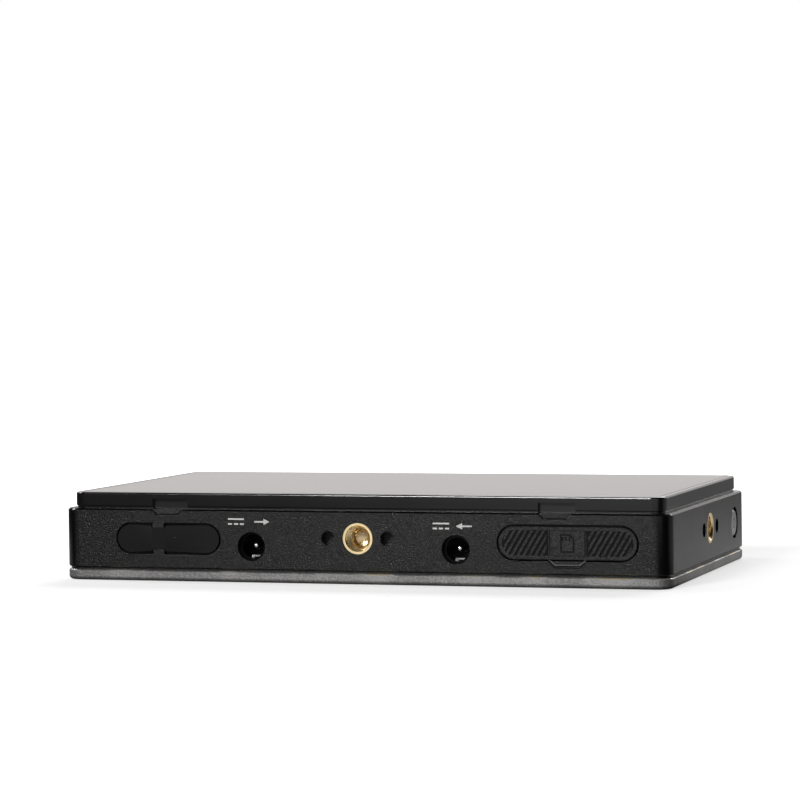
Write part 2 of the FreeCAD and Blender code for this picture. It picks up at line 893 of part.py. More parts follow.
def frame_bosses():
    """Posts and bosses that grow from the frame's walls and web."""
    boss = S.insert_diameter + 2 * S.insert_boss
    length = S.insert_length + S.insert_tail + S.insert_boss - S.frame_wall / 2
    front = rod(ZERO, FRONT + S.frame_wall / 2, S.mount_height, "y", length, boss)
    side = rod(RIGHT - S.frame_wall / 2, S.side_mount_y, S.mount_height, "-x", length, boss)
    low = BAY_TOP + S.fit_gap
    between = block([LEFT, FRONT, low], [RIGHT, REAR, WEB_BOTTOM + S.web_thickness / 2])
    bosses = [common(fuse([front, side]), between)]
    for x, y in screw_places():
        bosses.append(rod(x, y, S.plate_floor, "z", WEB_BOTTOM - S.plate_floor, S.screw_boss))
    for x, y in post_places():
        bosses.append(rod(x, y, BOARD_TOP, "z", S.board_drop, S.post_diameter))
    return bosses


def mount_cuts():
    """Bores for the two brass inserts and their anti-twist holes."""
    bore = S.insert_diameter + 2 * S.press_gap
    tail = S.insert_tail_diameter + 2 * S.press_gap
    length = S.insert_length + S.overrun
    whole = length + S.insert_tail
    tools = []
    for wide, reach in ((bore, length), (tail, whole)):
        tools.append(rod(ZERO, FRONT - S.overrun, S.mount_height, "y", reach, wide))
        tools.append(rod(RIGHT + S.overrun, S.side_mount_y, S.mount_height, "-x", reach, wide))
    reach = S.pin_depth + S.overrun
    for side in (-1, 1):
        off = side * S.pin_spacing / 2
        tools.append(rod(off, FRONT - S.overrun, S.mount_height, "y", reach, S.pin_diameter))
        y = S.side_mount_y + off
        tools.append(rod(RIGHT + S.overrun, y, S.mount_height, "-x", reach, S.pin_diameter))
    return tools


def usb_tabs(grow, near, depth):
    """The two tabs that pinch the rubber cover into a neck, grown by a clearance."""
    tabs = []
    for side in (-1, 1):
        edge = S.usb_height + side * S.usb_tall / 2
        tall = 2 * (S.usb_notch_depth + grow)
        width = S.usb_notch_width + 2 * grow
        y = FRONT + near + depth / 2
        tabs.append(centred_block(USB_NOTCH_X, y, edge, width, depth, tall))
    return tabs


def cover_cuts():
    """Recesses for the two rubber covers, with the ways through to the ports."""
    depth = S.cover_thickness + S.overrun
    usb = upright_pill(USB_X, S.usb_height, S.usb_length, S.usb_tall, -S.overrun, depth)
    flare(usb, USB_X, S.usb_height, S.usb_length, S.usb_tall)
    tools = [cut(usb, usb_tabs(ZERO, -2 * S.overrun, depth + 2 * S.overrun))]
    card = upright_pill(CARD_X, S.card_height, S.card_length, S.card_tall, -S.overrun, depth)
    tools.append(flare(card, CARD_X, S.card_height, S.card_length, S.card_tall))
    nail_top = S.card_height - S.card_tall / 2 + S.nail_depth
    wide = S.nail_top + S.nail_depth
    tall = S.nail_height + S.nail_depth
    nail = upright_shape(trapezium(CARD_X, nail_top, tall, wide, S.nail_bottom), S.nail_depth)
    tools.append(flare(nail, CARD_X, nail_top - tall / 2, wide, tall))
    width = S.usb_plug_width + 2 * S.usb_way_gap
    tall = S.usb_plug_tall + 2 * S.cover_gap
    tools.append(wall_way(USB_PORT_X, BOARD_MIDDLE, width, tall))
    stud = S.usb_stud_diameter + 2 * S.press_gap
    tools.append(rod(usb_stud_x(), FRONT, S.usb_height, "y", S.frame_wall + S.overrun, stud))
    width = S.card_slot_width + 2 * S.card_way_gap
    tools.append(wall_way(CARD_X, card_slot_z(), width, card_way_tall()))
    tools.append(card_strap_block(S.press_gap))
    return tools


def wall_way(x, z, width, tall):
    """A way through the front wall from the floor of a cover's recess."""
    near = [x - width / 2, FRONT + S.cover_thickness / 2, z - tall / 2]
    far = [x + width / 2, INNER_FRONT + S.overrun, z + tall / 2]
    return block(near, far)


def usb_stud_x():
    """The middle of the stud that holds the cover's fixed end."""
    return (USB_X - S.usb_length / 2 + USB_NOTCH_X) / 2


def card_slot_z():
    """The level of the card slot, in the socket under the board."""
    return BOARD_BOTTOM - S.card_socket_tall / 2


def card_way_tall():
    """The height of the way through the wall to the card slot."""
    return S.card_slot_tall + 2 * S.card_way_gap


def card_strap_block(grow):
    """The rubber strap that holds the card cover, in its slot behind the cover's upper edge."""
    top = S.card_height + S.card_tall / 2 - S.cover_thickness / 2
    z = top - S.card_strap_tall / 2
    near = FRONT + S.cover_thickness - S.press_gap
    y = near + S.card_strap_depth / 2
    width = S.card_strap_width + 2 * grow
    tall = S.card_strap_tall + 2 * grow
    return centred_block(CARD_X, y, z, width, S.card_strap_depth + 2 * grow, tall)


def socket_cuts():
    """Holes for the power, picture and sound sockets, the button and the screen's ribbon."""
    through = S.frame_wall + 2 * S.overrun
    tools = []
    for x in (DC_OUT_X, DC_IN_X):
        tools.append(rod(x, FRONT - S.overrun, S.dc_height, "y", through, S.dc_hole))
    x = LEFT + S.frame_wall / 2
    for y in (HDMI_IN_Y, HDMI_OUT_Y):
        width = S.hdmi_width + 2 * S.fit_gap
        tall = S.hdmi_tall + 2 * S.fit_gap
        tools.append(centred_block(x, y, BOARD_MIDDLE, through, width, tall))
    nose = S.phone_nose + 2 * S.fit_gap
    tools.append(rod(LEFT - S.overrun, PHONE_Y, BOARD_MIDDLE, "x", through, nose))
    tools.append(rod(RIGHT + S.overrun, BUTTON_Y, S.button_height, "-x", through, S.button_hole))
    deep = S.button_flange_sheet + S.button_travel + 2 * S.fit_gap
    wide = S.button_flange + 2 * S.slot_gap
    tools.append(rod(INNER_RIGHT, BUTTON_Y, S.button_height, "-x", deep, wide))
    y = flex_outer_y() - S.flex_sheet / 2
    slot = S.flex_width + 2 * S.slot_gap
    deep = S.flex_sheet + 2 * S.slot_gap
    tall = S.web_thickness + 2 * S.overrun
    tools.append(centred_block(FLEX_X, y, WEB_TOP - S.web_thickness / 2, slot, deep, tall))
    return tools


def sunhood_dents():
    """Trapezium dents under the sun hood's clip notches, on both long sides."""
    tools = []
    wide, tall = 2 * S.dent_top - S.dent_bottom, 2 * S.dent_height
    for side in (-1, 1):
        x = side * CLIP_X
        corners = trapezium(x, FRAME_TOP + S.dent_height, tall, wide, S.dent_bottom)
        front = flare(upright_shape(corners, S.dent_depth), x, FRAME_TOP, wide, tall)
        rear = flare(upright_shape(corners, S.dent_depth), x, FRAME_TOP, wide, tall)
        half_turn = FreeCAD.Rotation(FreeCAD.Vector(0, 0, 1), 180)
        tools += [front, place(rear, ZERO, ZERO, ZERO, half_turn)]
    return tools


def pilot_cuts():
    """Pilot holes for the back screws and the board's screws."""
    tools = []
    for x, y in screw_places():
        deep = S.screw_head_tall + S.screw_length + S.fit_gap
        tools.append(rod(x, y, ZERO, "z", deep, S.screw_shank + 2 * S.press_gap))
    for x, y in post_places():
        low = BOARD_BOTTOM
        deep = S.board_screw_length + S.fit_gap
        tools.append(rod(x, y, low, "z", deep, S.board_screw_shank + 2 * S.press_gap))
    return tools


def main_frame():
    """The housing that carries everything."""
    solid = fuse([frame_shell()] + frame_bosses())
    tools = mount_cuts() + cover_cuts() + socket_cuts() + sunhood_dents() + pilot_cuts()
    piece("main_frame", cut(solid, tools))


# Screen


def front_bezel():
    """Ring around the glass with a step on the frame, a spigot in it and notches for the sun hood."""
    body = new_body()
    width = S.frame_width - 2 * S.bezel_inset
    depth = S.frame_depth - 2 * S.bezel_inset
    outline = sketch_on(body, "XY_Plane", BEZEL_BOTTOM)
    draw_rounded(outline, ZERO, ZERO, width, depth, S.bezel_corner)
    ring = pad(body, outline, S.bezel_height)
    rounded = round_edges(body, ring, TOP, S.bezel_corner, S.bezel_round)
    bevel_edges(body, rounded, BEZEL_BOTTOM, S.bezel_corner, S.bezel_foot)
    step = sketch_on(body, "XY_Plane", FRAME_TOP + S.press_gap)
    step_width, step_depth = width - 2 * S.bezel_step, depth - 2 * S.bezel_step
    draw_rounded(step, ZERO, ZERO, step_width, step_depth, S.bezel_corner - S.bezel_step)
    pad(body, step, S.bezel_gap - S.press_gap + S.bezel_foot)
    inset = S.lip_wall + S.fit_gap
    outer = sketch_on(body, "XY_Plane", LEDGE)
    spigot_width, spigot_depth = S.frame_width - 2 * inset, S.frame_depth - 2 * inset
    draw_rounded(outer, ZERO, ZERO, spigot_width, spigot_depth, S.corner_radius - S.lip_wall / 2)
    pad(body, outer, BEZEL_BOTTOM - LEDGE)
    inner = sketch_on(body, "XY_Plane", LEDGE)
    spigot_width = spigot_width - 2 * S.spigot_wall
    spigot_depth = spigot_depth - 2 * S.spigot_wall
    draw_rounded(inner, ZERO, ZERO, spigot_width, spigot_depth, S.spigot_wall)
    pocket(body, inner, BEZEL_BOTTOM - LEDGE, backwards=True)
    seat = sketch_on(body, "XY_Plane", TOP)
    width, depth = width - 2 * S.bezel_rim, depth - 2 * S.bezel_rim
    draw_rounded(seat, ZERO, ZERO, width, depth, S.bezel_corner - S.bezel_rim)
    pocket(body, seat, TOP - TAPE_BOTTOM)
    window = sketch_on(body, "XY_Plane", TOP)
    width, depth = width - 2 * S.bezel_ledge, depth - 2 * S.bezel_ledge
    draw_rounded(window, ZERO, ZERO, width, depth, S.screen_corner)
    pocket(body, window, S.bezel_height)
    notches = []
    tall = S.bezel_gap + S.clip_height
    for side in (-1, 1):
        for edge in (-1, 1):
            y = edge * (REAR - S.bezel_inset)
            z = FRAME_TOP + tall / 2
            x = side * CLIP_X
            notches.append(centred_block(x, y, z, S.clip_width, 2 * S.clip_depth, tall))
    piece("front_bezel", cut(body, notches))


def glass_size():
    """Width and depth of the glass in its seat."""
    inset = 2 * (S.bezel_inset + S.bezel_rim + S.glass_gap)
    return S.frame_width - inset, S.frame_depth - inset


def front_glass():
    """Cover glass, level with the bezel's rim."""
    width, depth = glass_size()
    body = slab(ZERO, ZERO, width, depth, S.bezel_corner - S.bezel_rim, GLASS_BOTTOM, TOP)
    bevel_edges(body, body.Tip, TOP, S.bezel_corner, S.glass_edge)
    piece("front_glass", body)


def glass_tape():
    """Adhesive frame between the glass and the bezel's ledge."""
    width, depth = glass_size()
    radius = S.bezel_corner - S.bezel_rim
    outer = slab(ZERO, ZERO, width, depth, radius, TAPE_BOTTOM, GLASS_BOTTOM)
    inset = 2 * (S.bezel_ledge - S.glass_gap)
    low, high = TAPE_BOTTOM - S.overrun, GLASS_BOTTOM + S.overrun
    inner = slab(ZERO, ZERO, width - inset, depth - inset, S.screen_corner, low, high)
    piece("glass_tape", cut(outer, [inner]))


def screen_layers():
    """The panel under the glass: bond, cell, light guide stack and its metal tray."""
    inner_width = SCREEN_WIDTH - 2 * (S.screen_sheet + S.fit_gap)
    inner_depth = SCREEN_DEPTH - 2 * (S.screen_sheet + S.fit_gap)
    floor = WEB_TOP + S.screen_sheet
    levels = {
        "optical_bond": (TAPE_BOTTOM, GLASS_BOTTOM),
        "lcd_cell": (CELL_BOTTOM, TAPE_BOTTOM),
        "backlight_stack": (floor, CELL_BOTTOM),
    }
    for label, (low, high) in levels.items():
        piece(label, slab(ZERO, ZERO, inner_width, inner_depth, S.screen_corner, low, high))
    rim = WEB_TOP + S.screen_tray
    outer = slab(ZERO, ZERO, SCREEN_WIDTH, SCREEN_DEPTH, S.screen_corner, WEB_TOP, rim)
    width, depth = SCREEN_WIDTH - 2 * S.screen_sheet, SCREEN_DEPTH - 2 * S.screen_sheet
    inner = slab(ZERO, ZERO, width, depth, S.screen_corner, floor, rim + S.overrun)
    piece("backlight_tray", cut(outer, [inner]))


def flex_outer_y():
    """The outer face of the ribbon where it drops past the screen's tray."""
    return SCREEN_DEPTH / 2 + S.fit_gap + S.flex_sheet


def display_flex():
    """Ribbon from the cell's edge, down through the web and onto the board."""
    body = new_body()
    sketch = sketch_on(body, "YZ_Plane", FLEX_X - S.flex_width / 2)
    cell_edge = SCREEN_DEPTH / 2 - S.screen_sheet - S.fit_gap
    high = TAPE_BOTTOM - S.flex_sheet / 2
    under = high - S.flex_sheet
    outer, inner = flex_outer_y(), flex_outer_y() - S.flex_sheet
    low = BOARD_TOP
    end = BOARD_REAR - S.flex_landing
    bend, tight = S.flex_bend, S.flex_bend - S.flex_sheet
    corners = [
        (end, low),
        (outer - bend, low),
        (outer, low + bend),
        (outer, high - S.flex_sheet),
        (inner, high),
        (cell_edge, high),
        (cell_edge, under),
        (inner, under),
        (inner, low + bend),
        (inner - tight, low + S.flex_sheet),
        (end, low + S.flex_sheet),
    ]
    arcs = {
        1: (outer - bend, low + bend, True),
        8: (inner - tight, low + bend, False),
    }
    draw(sketch, corners, arcs)
    pad(body, sketch, S.flex_width)
    piece("display_flex", body)


# Electronics


def board_notch(x, y, width, depth):
    """A notch through the board around a socket."""
    return centred_block(x, y, BOARD_MIDDLE, width, depth, S.board_thickness + 2 * S.overrun)


def main_board():
    """Circuit board under the web, notched for the sockets that sit in its thickness."""
    near = [-BOARD_RIGHT, BOARD_FRONT, BOARD_BOTTOM]
    far = [BOARD_RIGHT, BOARD_REAR, BOARD_TOP]
    tools = []
    for x in (DC_OUT_X, DC_IN_X):
        end = INNER_FRONT + S.dc_length + S.fit_gap
        width = S.dc_body + 2 * S.fit_gap
        tools.append(board_notch(x, BOARD_FRONT, width, 2 * (end - BOARD_FRONT)))
    end = usb_front() + S.usb_port_length + S.fit_gap
    width = S.usb_port_width + 2 * S.fit_gap
    tools.append(board_notch(USB_PORT_X, BOARD_FRONT, width, 2 * (end - BOARD_FRONT)))
    deep = 2 * (LEFT + S.port_setback + S.hdmi_length + S.fit_gap + BOARD_RIGHT)
    for y in (HDMI_IN_Y, HDMI_OUT_Y):
        tools.append(board_notch(-BOARD_RIGHT, y, deep, S.hdmi_width + 2 * S.fit_gap))
    deep = 2 * (LEFT + S.port_setback + S.phone_length + S.fit_gap + BOARD_RIGHT)
    tools.append(board_notch(-BOARD_RIGHT, PHONE_Y, deep, S.phone_width + 2 * S.fit_gap))
    low = BOARD_BOTTOM - S.overrun
    deep = S.board_thickness + 2 * S.overrun
    for x, y in screw_places():
        tools.append(rod(x, y, low, "z", deep, S.screw_boss + 2 * S.slot_gap))
    for x, y in post_places():
        hole = S.board_screw_shank + 2 * S.fit_gap
        tools.append(rod(x, y, low, "z", deep, hole))
    piece("main_board", cut(block(near, far), tools))


def board_screws():
    """Pan screws from below the board into the posts."""
    screws = []
    for x, y in post_places():
        low = BOARD_BOTTOM - S.board_screw_tall
        head = rod(x, y, low, "z", S.board_screw_tall, S.board_screw_head)
        shank = rod(x, y, BOARD_BOTTOM, "z", S.board_screw_length, S.board_screw_shank)
        screws.append(fuse([head, shank]))
    piece("board_screws", group(screws))


def main_chip():
    """Picture processor on the board, with a pad that carries its heat to the web."""
    half = S.chip_side / 2
    near = [CHIP_X - half, S.chip_y - half, BOARD_TOP]
    far = [CHIP_X + half, S.chip_y + half, BOARD_TOP + S.chip_thickness]
    piece("main_chip", block(near, far))
    near = [CHIP_X - half, S.chip_y - half, BOARD_TOP + S.chip_thickness]
    far = [CHIP_X + half, S.chip_y + half, WEB_BOTTOM]
    piece("thermal_pad", block(near, far))


def board_ears(x, y, width, depth):
    """Ears with which a socket rests on the board's upper face."""
    return centred_block(x, y, BOARD_TOP + S.ear_sheet / 2, width, depth, S.ear_sheet)


def dc_socket(label, x):
    """Barrel socket with its nose in the wall, a centre pin and a leaf contact."""
    y = INNER_FRONT + S.dc_length / 2
    body = centred_block(x, y, S.dc_height, S.dc_body, S.dc_length, S.dc_body)
    nose_front = FRONT + S.dc_setback
    nose_length = S.frame_wall - S.dc_setback + S.dc_nose_root
    nose = rod(x, nose_front, S.dc_height, "y", nose_length, S.dc_hole - 2 * S.press_gap)
    ear_y = BOARD_FRONT + S.ear_width
    ears = board_ears(x, ear_y, S.dc_body + 2 * (S.ear_width + S.fit_gap), 2 * S.ear_width)
    deep = S.dc_bore_depth + S.overrun
    bore = rod(x, nose_front - S.overrun, S.dc_height, "y", deep, S.dc_bore)
    pin_front = FRONT + S.dc_pin_setback
    pin_length = S.dc_length + S.frame_wall - S.dc_pin_setback
    pin_hole = S.dc_pin_diameter + 2 * S.press_gap
    pin_way = rod(x, pin_front, S.dc_height, "y", pin_length + S.overrun, pin_hole)
    leaf = leaf_block(x, S.press_gap)
    piece(f"{label}_socket", cut(fuse([body, nose, ears]), [bore, pin_way, leaf]))
    pin = turned_pin(pin_length)
    place(pin, x, pin_front, S.dc_height, TURNS["y"])
    piece(f"{label}_pin", pin)
    piece(f"{label}_contact", leaf_block(x, ZERO))


def turned_pin(length):
    """Round pin with a blunt, bevelled tip."""
    radius = S.dc_pin_diameter / 2
    tip = radius - S.dc_pin_bevel
    return turned([
        (ZERO, ZERO),
        (tip, ZERO),
        (radius, S.dc_pin_bevel),
        (radius, length),
        (ZERO, length),
    ])


def leaf_block(x, grow):
    """The leaf contact along the bottom of a barrel socket's bore."""
    middle = S.dc_height - S.dc_bore / 2 + S.dc_leaf_reach - S.dc_leaf_sheet / 2
    tail = FRONT + S.frame_wall + S.dc_length
    front = FRONT + S.dc_setback + S.dc_leaf_width
    y = (tail + front) / 2
    width = S.dc_leaf_width + 2 * grow
    tall = S.dc_leaf_sheet + 2 * grow
    return centred_block(x, y, middle, width, tail - front, tall)


def usb_front():
    """The mouth of the data socket."""
    return FRONT + S.cover_thickness + S.cover_plug + S.cover_gap


def usb_socket():
    """Small data socket in the board's thickness, behind the rubber flap."""
    front = usb_front()
    y = front + S.usb_port_length / 2
    z = BOARD_MIDDLE
    body = new_body()
    sketch = sketch_on(body, "XZ_Plane", -front)
    radius = S.usb_port_tall * S.usb_corner_share
    draw_rounded(sketch, USB_PORT_X, z, S.usb_port_width, S.usb_port_tall, radius)
    pad(body, sketch, S.usb_port_length, backwards=True)
    mouth = sketch_on(body, "XZ_Plane", -front)
    width = S.usb_port_width - 2 * S.usb_port_wall
    tall = S.usb_port_tall - 2 * S.usb_port_wall
    draw_rounded(mouth, USB_PORT_X, z, width, tall, tall * S.usb_corner_share)
    pocket(body, mouth, S.usb_port_length * S.usb_mouth_share)
    tongue_width = width * S.usb_tongue_width_share
    tongue_length = S.usb_port_length * S.usb_tongue_length_share
    tongue_tall = tall * S.usb_tongue_tall_share
    tongue = centred_block(USB_PORT_X, y, z, tongue_width, tongue_length, tongue_tall)
    ear_y = BOARD_FRONT + S.ear_width
    wide = S.usb_port_width + 2 * (S.ear_width + S.fit_gap)
    low = board_ears(USB_PORT_X, ear_y, wide, 2 * S.ear_width)
    deep = 2 * (S.ear_width + S.overrun)
    clear = centred_block(USB_PORT_X, ear_y, BOARD_TOP, width, deep, tall)
    piece("usb_socket", fuse([body, tongue, cut(low, [clear])]))


def card_socket():
    """Memory card socket under the board, its slot facing the cover."""
    front = INNER_FRONT + S.fit_gap
    y = front + S.card_socket_length / 2
    z = card_slot_z()
    length = S.card_socket_length
    shell = centred_block(CARD_X, y, z, CARD_SOCKET_WIDTH, length, S.card_socket_tall)
    deep = length - S.card_socket_wall + S.overrun
    slot_y = front - S.overrun + deep / 2
    slot = centred_block(CARD_X, slot_y, z, S.card_slot_width, deep, S.card_slot_tall)
    piece("card_socket", cut(shell, [slot]))


def hdmi_socket(label, y):
    """Picture socket in the board's thickness, its mouth in the left wall."""
    left = LEFT + S.port_setback
    body = new_body()
    sketch = sketch_on(body, "YZ_Plane", left)
    draw(sketch, hdmi_outline(y, ZERO))
    pad(body, sketch, S.hdmi_length)
    mouth = sketch_on(body, "YZ_Plane", left)
    draw(mouth, hdmi_outline(y, S.hdmi_wall))
    pocket(body, mouth, S.hdmi_length * S.hdmi_mouth_share, backwards=True)
    tongue_length = S.hdmi_length * S.hdmi_tongue_length_share
    tongue_x = left + S.hdmi_length - tongue_length / 2
    width = S.hdmi_width * S.hdmi_tongue_width_share
    tongue = centred_block(tongue_x, y, BOARD_MIDDLE, tongue_length, width, S.hdmi_tongue)
    ear_x = -BOARD_RIGHT + S.ear_width / 2
    wide = S.hdmi_width + 2 * (S.ear_width + S.fit_gap)
    ears = board_ears(ear_x, y, S.ear_width, wide)
    clear = S.hdmi_width - S.hdmi_wall
    inside = centred_block(ear_x, y, BOARD_MIDDLE, 2 * S.ear_width, clear, S.hdmi_tall)
    piece(label, fuse([body, tongue, cut(ears, [inside])]))


def hdmi_outline(y, inset):
    """The socket's outline, with its two lower corners cut off."""
    half = S.hdmi_width / 2 - inset
    low = BOARD_MIDDLE - S.hdmi_tall / 2 + inset
    high = BOARD_MIDDLE + S.hdmi_tall / 2 - inset
    edge = S.hdmi_edge
    return [
        (y - half + edge, low),
        (y + half - edge, low),
        (y + half, low + edge),
        (y + half, high),
        (y - half, high),
        (y - half, low + edge),
    ]


def headphone_socket():
    """Sound socket with a round nose in the left wall."""
    left = LEFT + S.port_setback
    body_left = LEFT + S.frame_wall + S.fit_gap
    x = (body_left + left + S.phone_length) / 2
    length = left + S.phone_length - body_left
    body = centred_block(x, PHONE_Y, BOARD_MIDDLE, length, S.phone_width, S.phone_tall)
    nose_length = body_left - left + length / 2
    nose = rod(left, PHONE_Y, BOARD_MIDDLE, "x", nose_length, S.phone_nose)
    ear_x = -BOARD_RIGHT + S.ear_width / 2
    wide = S.phone_width + 2 * (S.ear_width + S.fit_gap)
    ears = board_ears(ear_x, PHONE_Y, S.ear_width, wide)
    deep = S.phone_length - S.phone_floor + S.overrun
    bore = rod(left - S.overrun, PHONE_Y, BOARD_MIDDLE, "x", deep, S.phone_bore)
    piece("headphone_socket", cut(fuse([body, nose, ears]), [bore]))


# Threaded inserts


def insert(label, x, y, axis):
    """Closed brass bush for a tripod screw, with a narrow tail, a grip groove and a bevelled mouth."""
    outer, bore = S.insert_diameter / 2, S.thread_bore / 2
    mouth, tail = S.thread_mouth / 2, S.insert_tail_diameter / 2
    neck = outer - S.insert_groove
    end = S.insert_tail + S.insert_length
    groove = end - S.insert_collar
    corners = [
        (ZERO, ZERO),
        (tail, ZERO),
        (tail, S.insert_tail),
        (outer, S.insert_tail),
        (outer, groove - S.insert_collar),
        (neck, groove - S.insert_collar),
        (neck, groove),
        (outer, groove),
        (outer, end),
        (mouth, end),
        (bore, end - (mouth - bore)),
        (bore, S.insert_floor + S.insert_cone),
        (ZERO, S.insert_floor),
    ]
    body = turned(corners)
    place(body, x, y, S.mount_height, TURNS[axis])
    piece(label, body)


# Power button


def power_button():
    """Round cap in the right wall, with a flange that keeps it in."""
    face = RIGHT - S.button_setback
    flange_face = INNER_RIGHT - S.fit_gap
    flange_back = flange_face - S.button_flange_sheet
    height = face - flange_back
    cap, flange = S.button_cap / 2, S.button_flange / 2
    edge = S.button_edge
    sheet_top = S.button_flange_sheet
    corners = [
        (ZERO, ZERO),
        (flange, ZERO),
        (flange, sheet_top),
        (cap, sheet_top),
        (cap, height - edge),
        (cap - edge, height),
        (ZERO, height),
    ]
    body = turned(corners)
    place(body, flange_back, BUTTON_Y, S.button_height, TURNS["x"])
    piece("power_button", body)
    plunger_length = S.switch_stroke + S.button_travel
    start = flange_back - plunger_length
    plunger = rod(start, BUTTON_Y, S.button_height, "x", plunger_length, S.switch_plunger)
    piece("switch_plunger", plunger)
    switch_face = flange_back - S.switch_stroke + S.button_travel
    left = BOARD_RIGHT + S.switch_board
    shell = block(
        [left, BUTTON_Y - S.switch_side / 2, S.button_height - S.switch_side / 2],
        [switch_face, BUTTON_Y + S.switch_side / 2, S.button_height + S.switch_side / 2],
    )
    well = S.switch_stroke + 2 * S.button_travel + S.overrun
    wide = S.switch_plunger + S.fit_gap
    bore = rod(switch_face + S.overrun, BUTTON_Y, S.button_height, "-x", well, wide)
    piece("power_switch", cut(shell, [bore]))
    rear = BUTTON_Y + S.switch_side / 2
    top = WEB_BOTTOM - S.fit_gap
    board = block(
        [BOARD_RIGHT, rear - S.switch_board_width, top - S.switch_board_tall],
        [left, rear, top],
    )
    piece("button_board", board)


# Rubber covers


def usb_pill():
    """The rubber data cover's outline block, within its recess by a clearance."""
    length, tall = S.usb_length - 2 * S.cover_gap, S.usb_tall - 2 * S.cover_gap
    thick = S.cover_thickness - 2 * S.press_gap
    return upright_pill(USB_X, S.usb_height, length, tall, S.press_gap, thick)


def plug_block(x, z, width, tall):
    """A plug on the back of a rubber cover, from the middle of its thickness inwards."""
    near = FRONT + S.cover_thickness / 2
    far = FRONT + S.cover_thickness + S.cover_plug
    return centred_block(x, (near + far) / 2, z, width, far - near, tall)


def usb_cover():
    """Rubber cover with a fixed end, a neck that bends and a flap over the data socket."""
    gap = S.cover_gap
    y = FRONT + S.cover_thickness / 2
    deep = S.cover_thickness + 2 * S.overrun
    tall = 2 * S.usb_tall
    slit = S.usb_hinge_slit / 2
    far = S.usb_length
    right_of = centred_block(USB_NOTCH_X - slit + far / 2, y, S.usb_height, far, deep, tall)
    left_of = centred_block(USB_NOTCH_X + slit - far / 2, y, S.usb_height, far, deep, tall)
    end = cut(usb_pill(), usb_tabs(gap, -S.overrun, deep) + [right_of])
    reach = S.frame_wall - S.cover_thickness / 2
    stud = rod(usb_stud_x(), y, S.usb_height, "y", reach, S.usb_stud_diameter)
    piece("usb_cover_anchor", fuse([end, stud]))
    flap = cut(usb_pill(), usb_tabs(gap, -S.overrun, deep) + [left_of])
    plug = plug_block(USB_PORT_X - gap, BOARD_MIDDLE, S.usb_plug_width, S.usb_plug_tall)
    piece("usb_cover_flap", fuse([flap, plug]))


def rib_bars(x):
    """Slanting grip ribs across one end of the card cover, trimmed to the grip's width."""
    middle = (GRIP_RIBS - 1) / 2
    bars = [slanted_bar(x + S.card_rib_pitch * (number - middle)) for number in range(GRIP_RIBS)]
    y = FRONT + S.cover_thickness / 2
    deep = S.cover_thickness + 2 * S.overrun
    zone = centred_block(x, y, S.card_height, S.card_grip_width, deep, S.card_tall)
    return common(fuse(bars), zone)


def slanted_bar(x):
    """One rib that leans to the right as it rises."""
    half = S.card_tall / 2
    lean = half * S.card_lean_share
    wide = S.card_rib_width / 2
    low, high = S.card_height - half, S.card_height + half
    corners = [
        (x - lean - wide, low),
        (x - lean + wide, low),
        (x + lean + wide, high),
        (x + lean - wide, high),
    ]
    body = new_body()
    sketch = draw(sketch_on(body, "XZ_Plane", -FRONT - S.press_gap), corners)
    pad(body, sketch, S.card_grip_rise + S.press_gap, backwards=True)
    return body


def card_cover():
    """Rubber flap over the card slot, with slanting grip ribs either side of a plain panel."""
    gap, rise = S.cover_gap, S.card_grip_rise
    length, tall = S.card_length - 2 * gap, S.card_tall - 2 * gap
    thick = S.cover_thickness - S.press_gap - rise
    base = upright_pill(CARD_X, S.card_height, length, tall, rise, thick)
    through = rise + 2 * S.overrun
    rim_length, rim_tall = length - 2 * S.card_rim, tall - 2 * S.card_rim
    rim = cut(
        upright_pill(CARD_X, S.card_height, length, tall, S.press_gap, rise),
        [upright_pill(CARD_X, S.card_height, rim_length, rim_tall, -S.overrun, through)],
    )
    y = FRONT + (rise + S.card_panel_drop) / 2
    panel_tall, panel_rise = tall - S.card_rim, rise - S.card_panel_drop
    panel = centred_block(CARD_X, y, S.card_height, S.card_panel_width, panel_rise, panel_tall)
    off = (S.card_panel_width + S.card_grip_width) / 2 + S.card_panel_gap
    length, tall = length - S.card_rim, tall - S.card_rim
    inside = upright_pill(CARD_X, S.card_height, length, tall, -S.overrun, through)
    ribs = common(fuse([rib_bars(CARD_X - off), rib_bars(CARD_X + off)]), inside)
    plug = plug_block(CARD_X, card_slot_z() + gap, S.card_slot_width, S.card_plug_tall)
    piece("card_cover_flap", fuse([base, rim, panel, ribs, plug]))
    piece("card_cover_strap", card_strap_block(ZERO))


def build():
    """Makes every sub-part."""
    back_plate()
    back_screws()
    battery_tray()
    battery_contacts()
    battery_latch()
    latch_spring()
    main_frame()
    front_bezel()
    front_glass()
    glass_tape()
    screen_layers()
    display_flex()
    main_board()
    board_screws()
    main_chip()
    dc_socket("dc_out", DC_OUT_X)
    dc_socket("dc_in", DC_IN_X)
    usb_socket()
    card_socket()
    hdmi_socket("hdmi_in_socket", HDMI_IN_Y)
    hdmi_socket("hdmi_out_socket", HDMI_OUT_Y)
    headphone_socket()
    reach = S.insert_length + S.insert_tail
    insert("bottom_insert", ZERO, FRONT + reach, "-y")
    insert("side_insert", RIGHT - reach, S.side_mount_y, "x")
    power_button()
    usb_cover()
    card_cover()
    doc.recompute()


def check():
    """Stops if an object failed or a sub-part has no sound solid."""
    for thing in doc.Objects:
        if "Invalid" in thing.State or "Error" in thing.State:
            raise RuntimeError(f"{thing.Name} of {thing.Label} failed: {thing.State}")
    for label, thing in pieces.items():
        shape = thing.Shape
        if shape.isNull() or not shape.isValid() or not shape.Solids:
            raise RuntimeError(f"{label} has no sound solid")


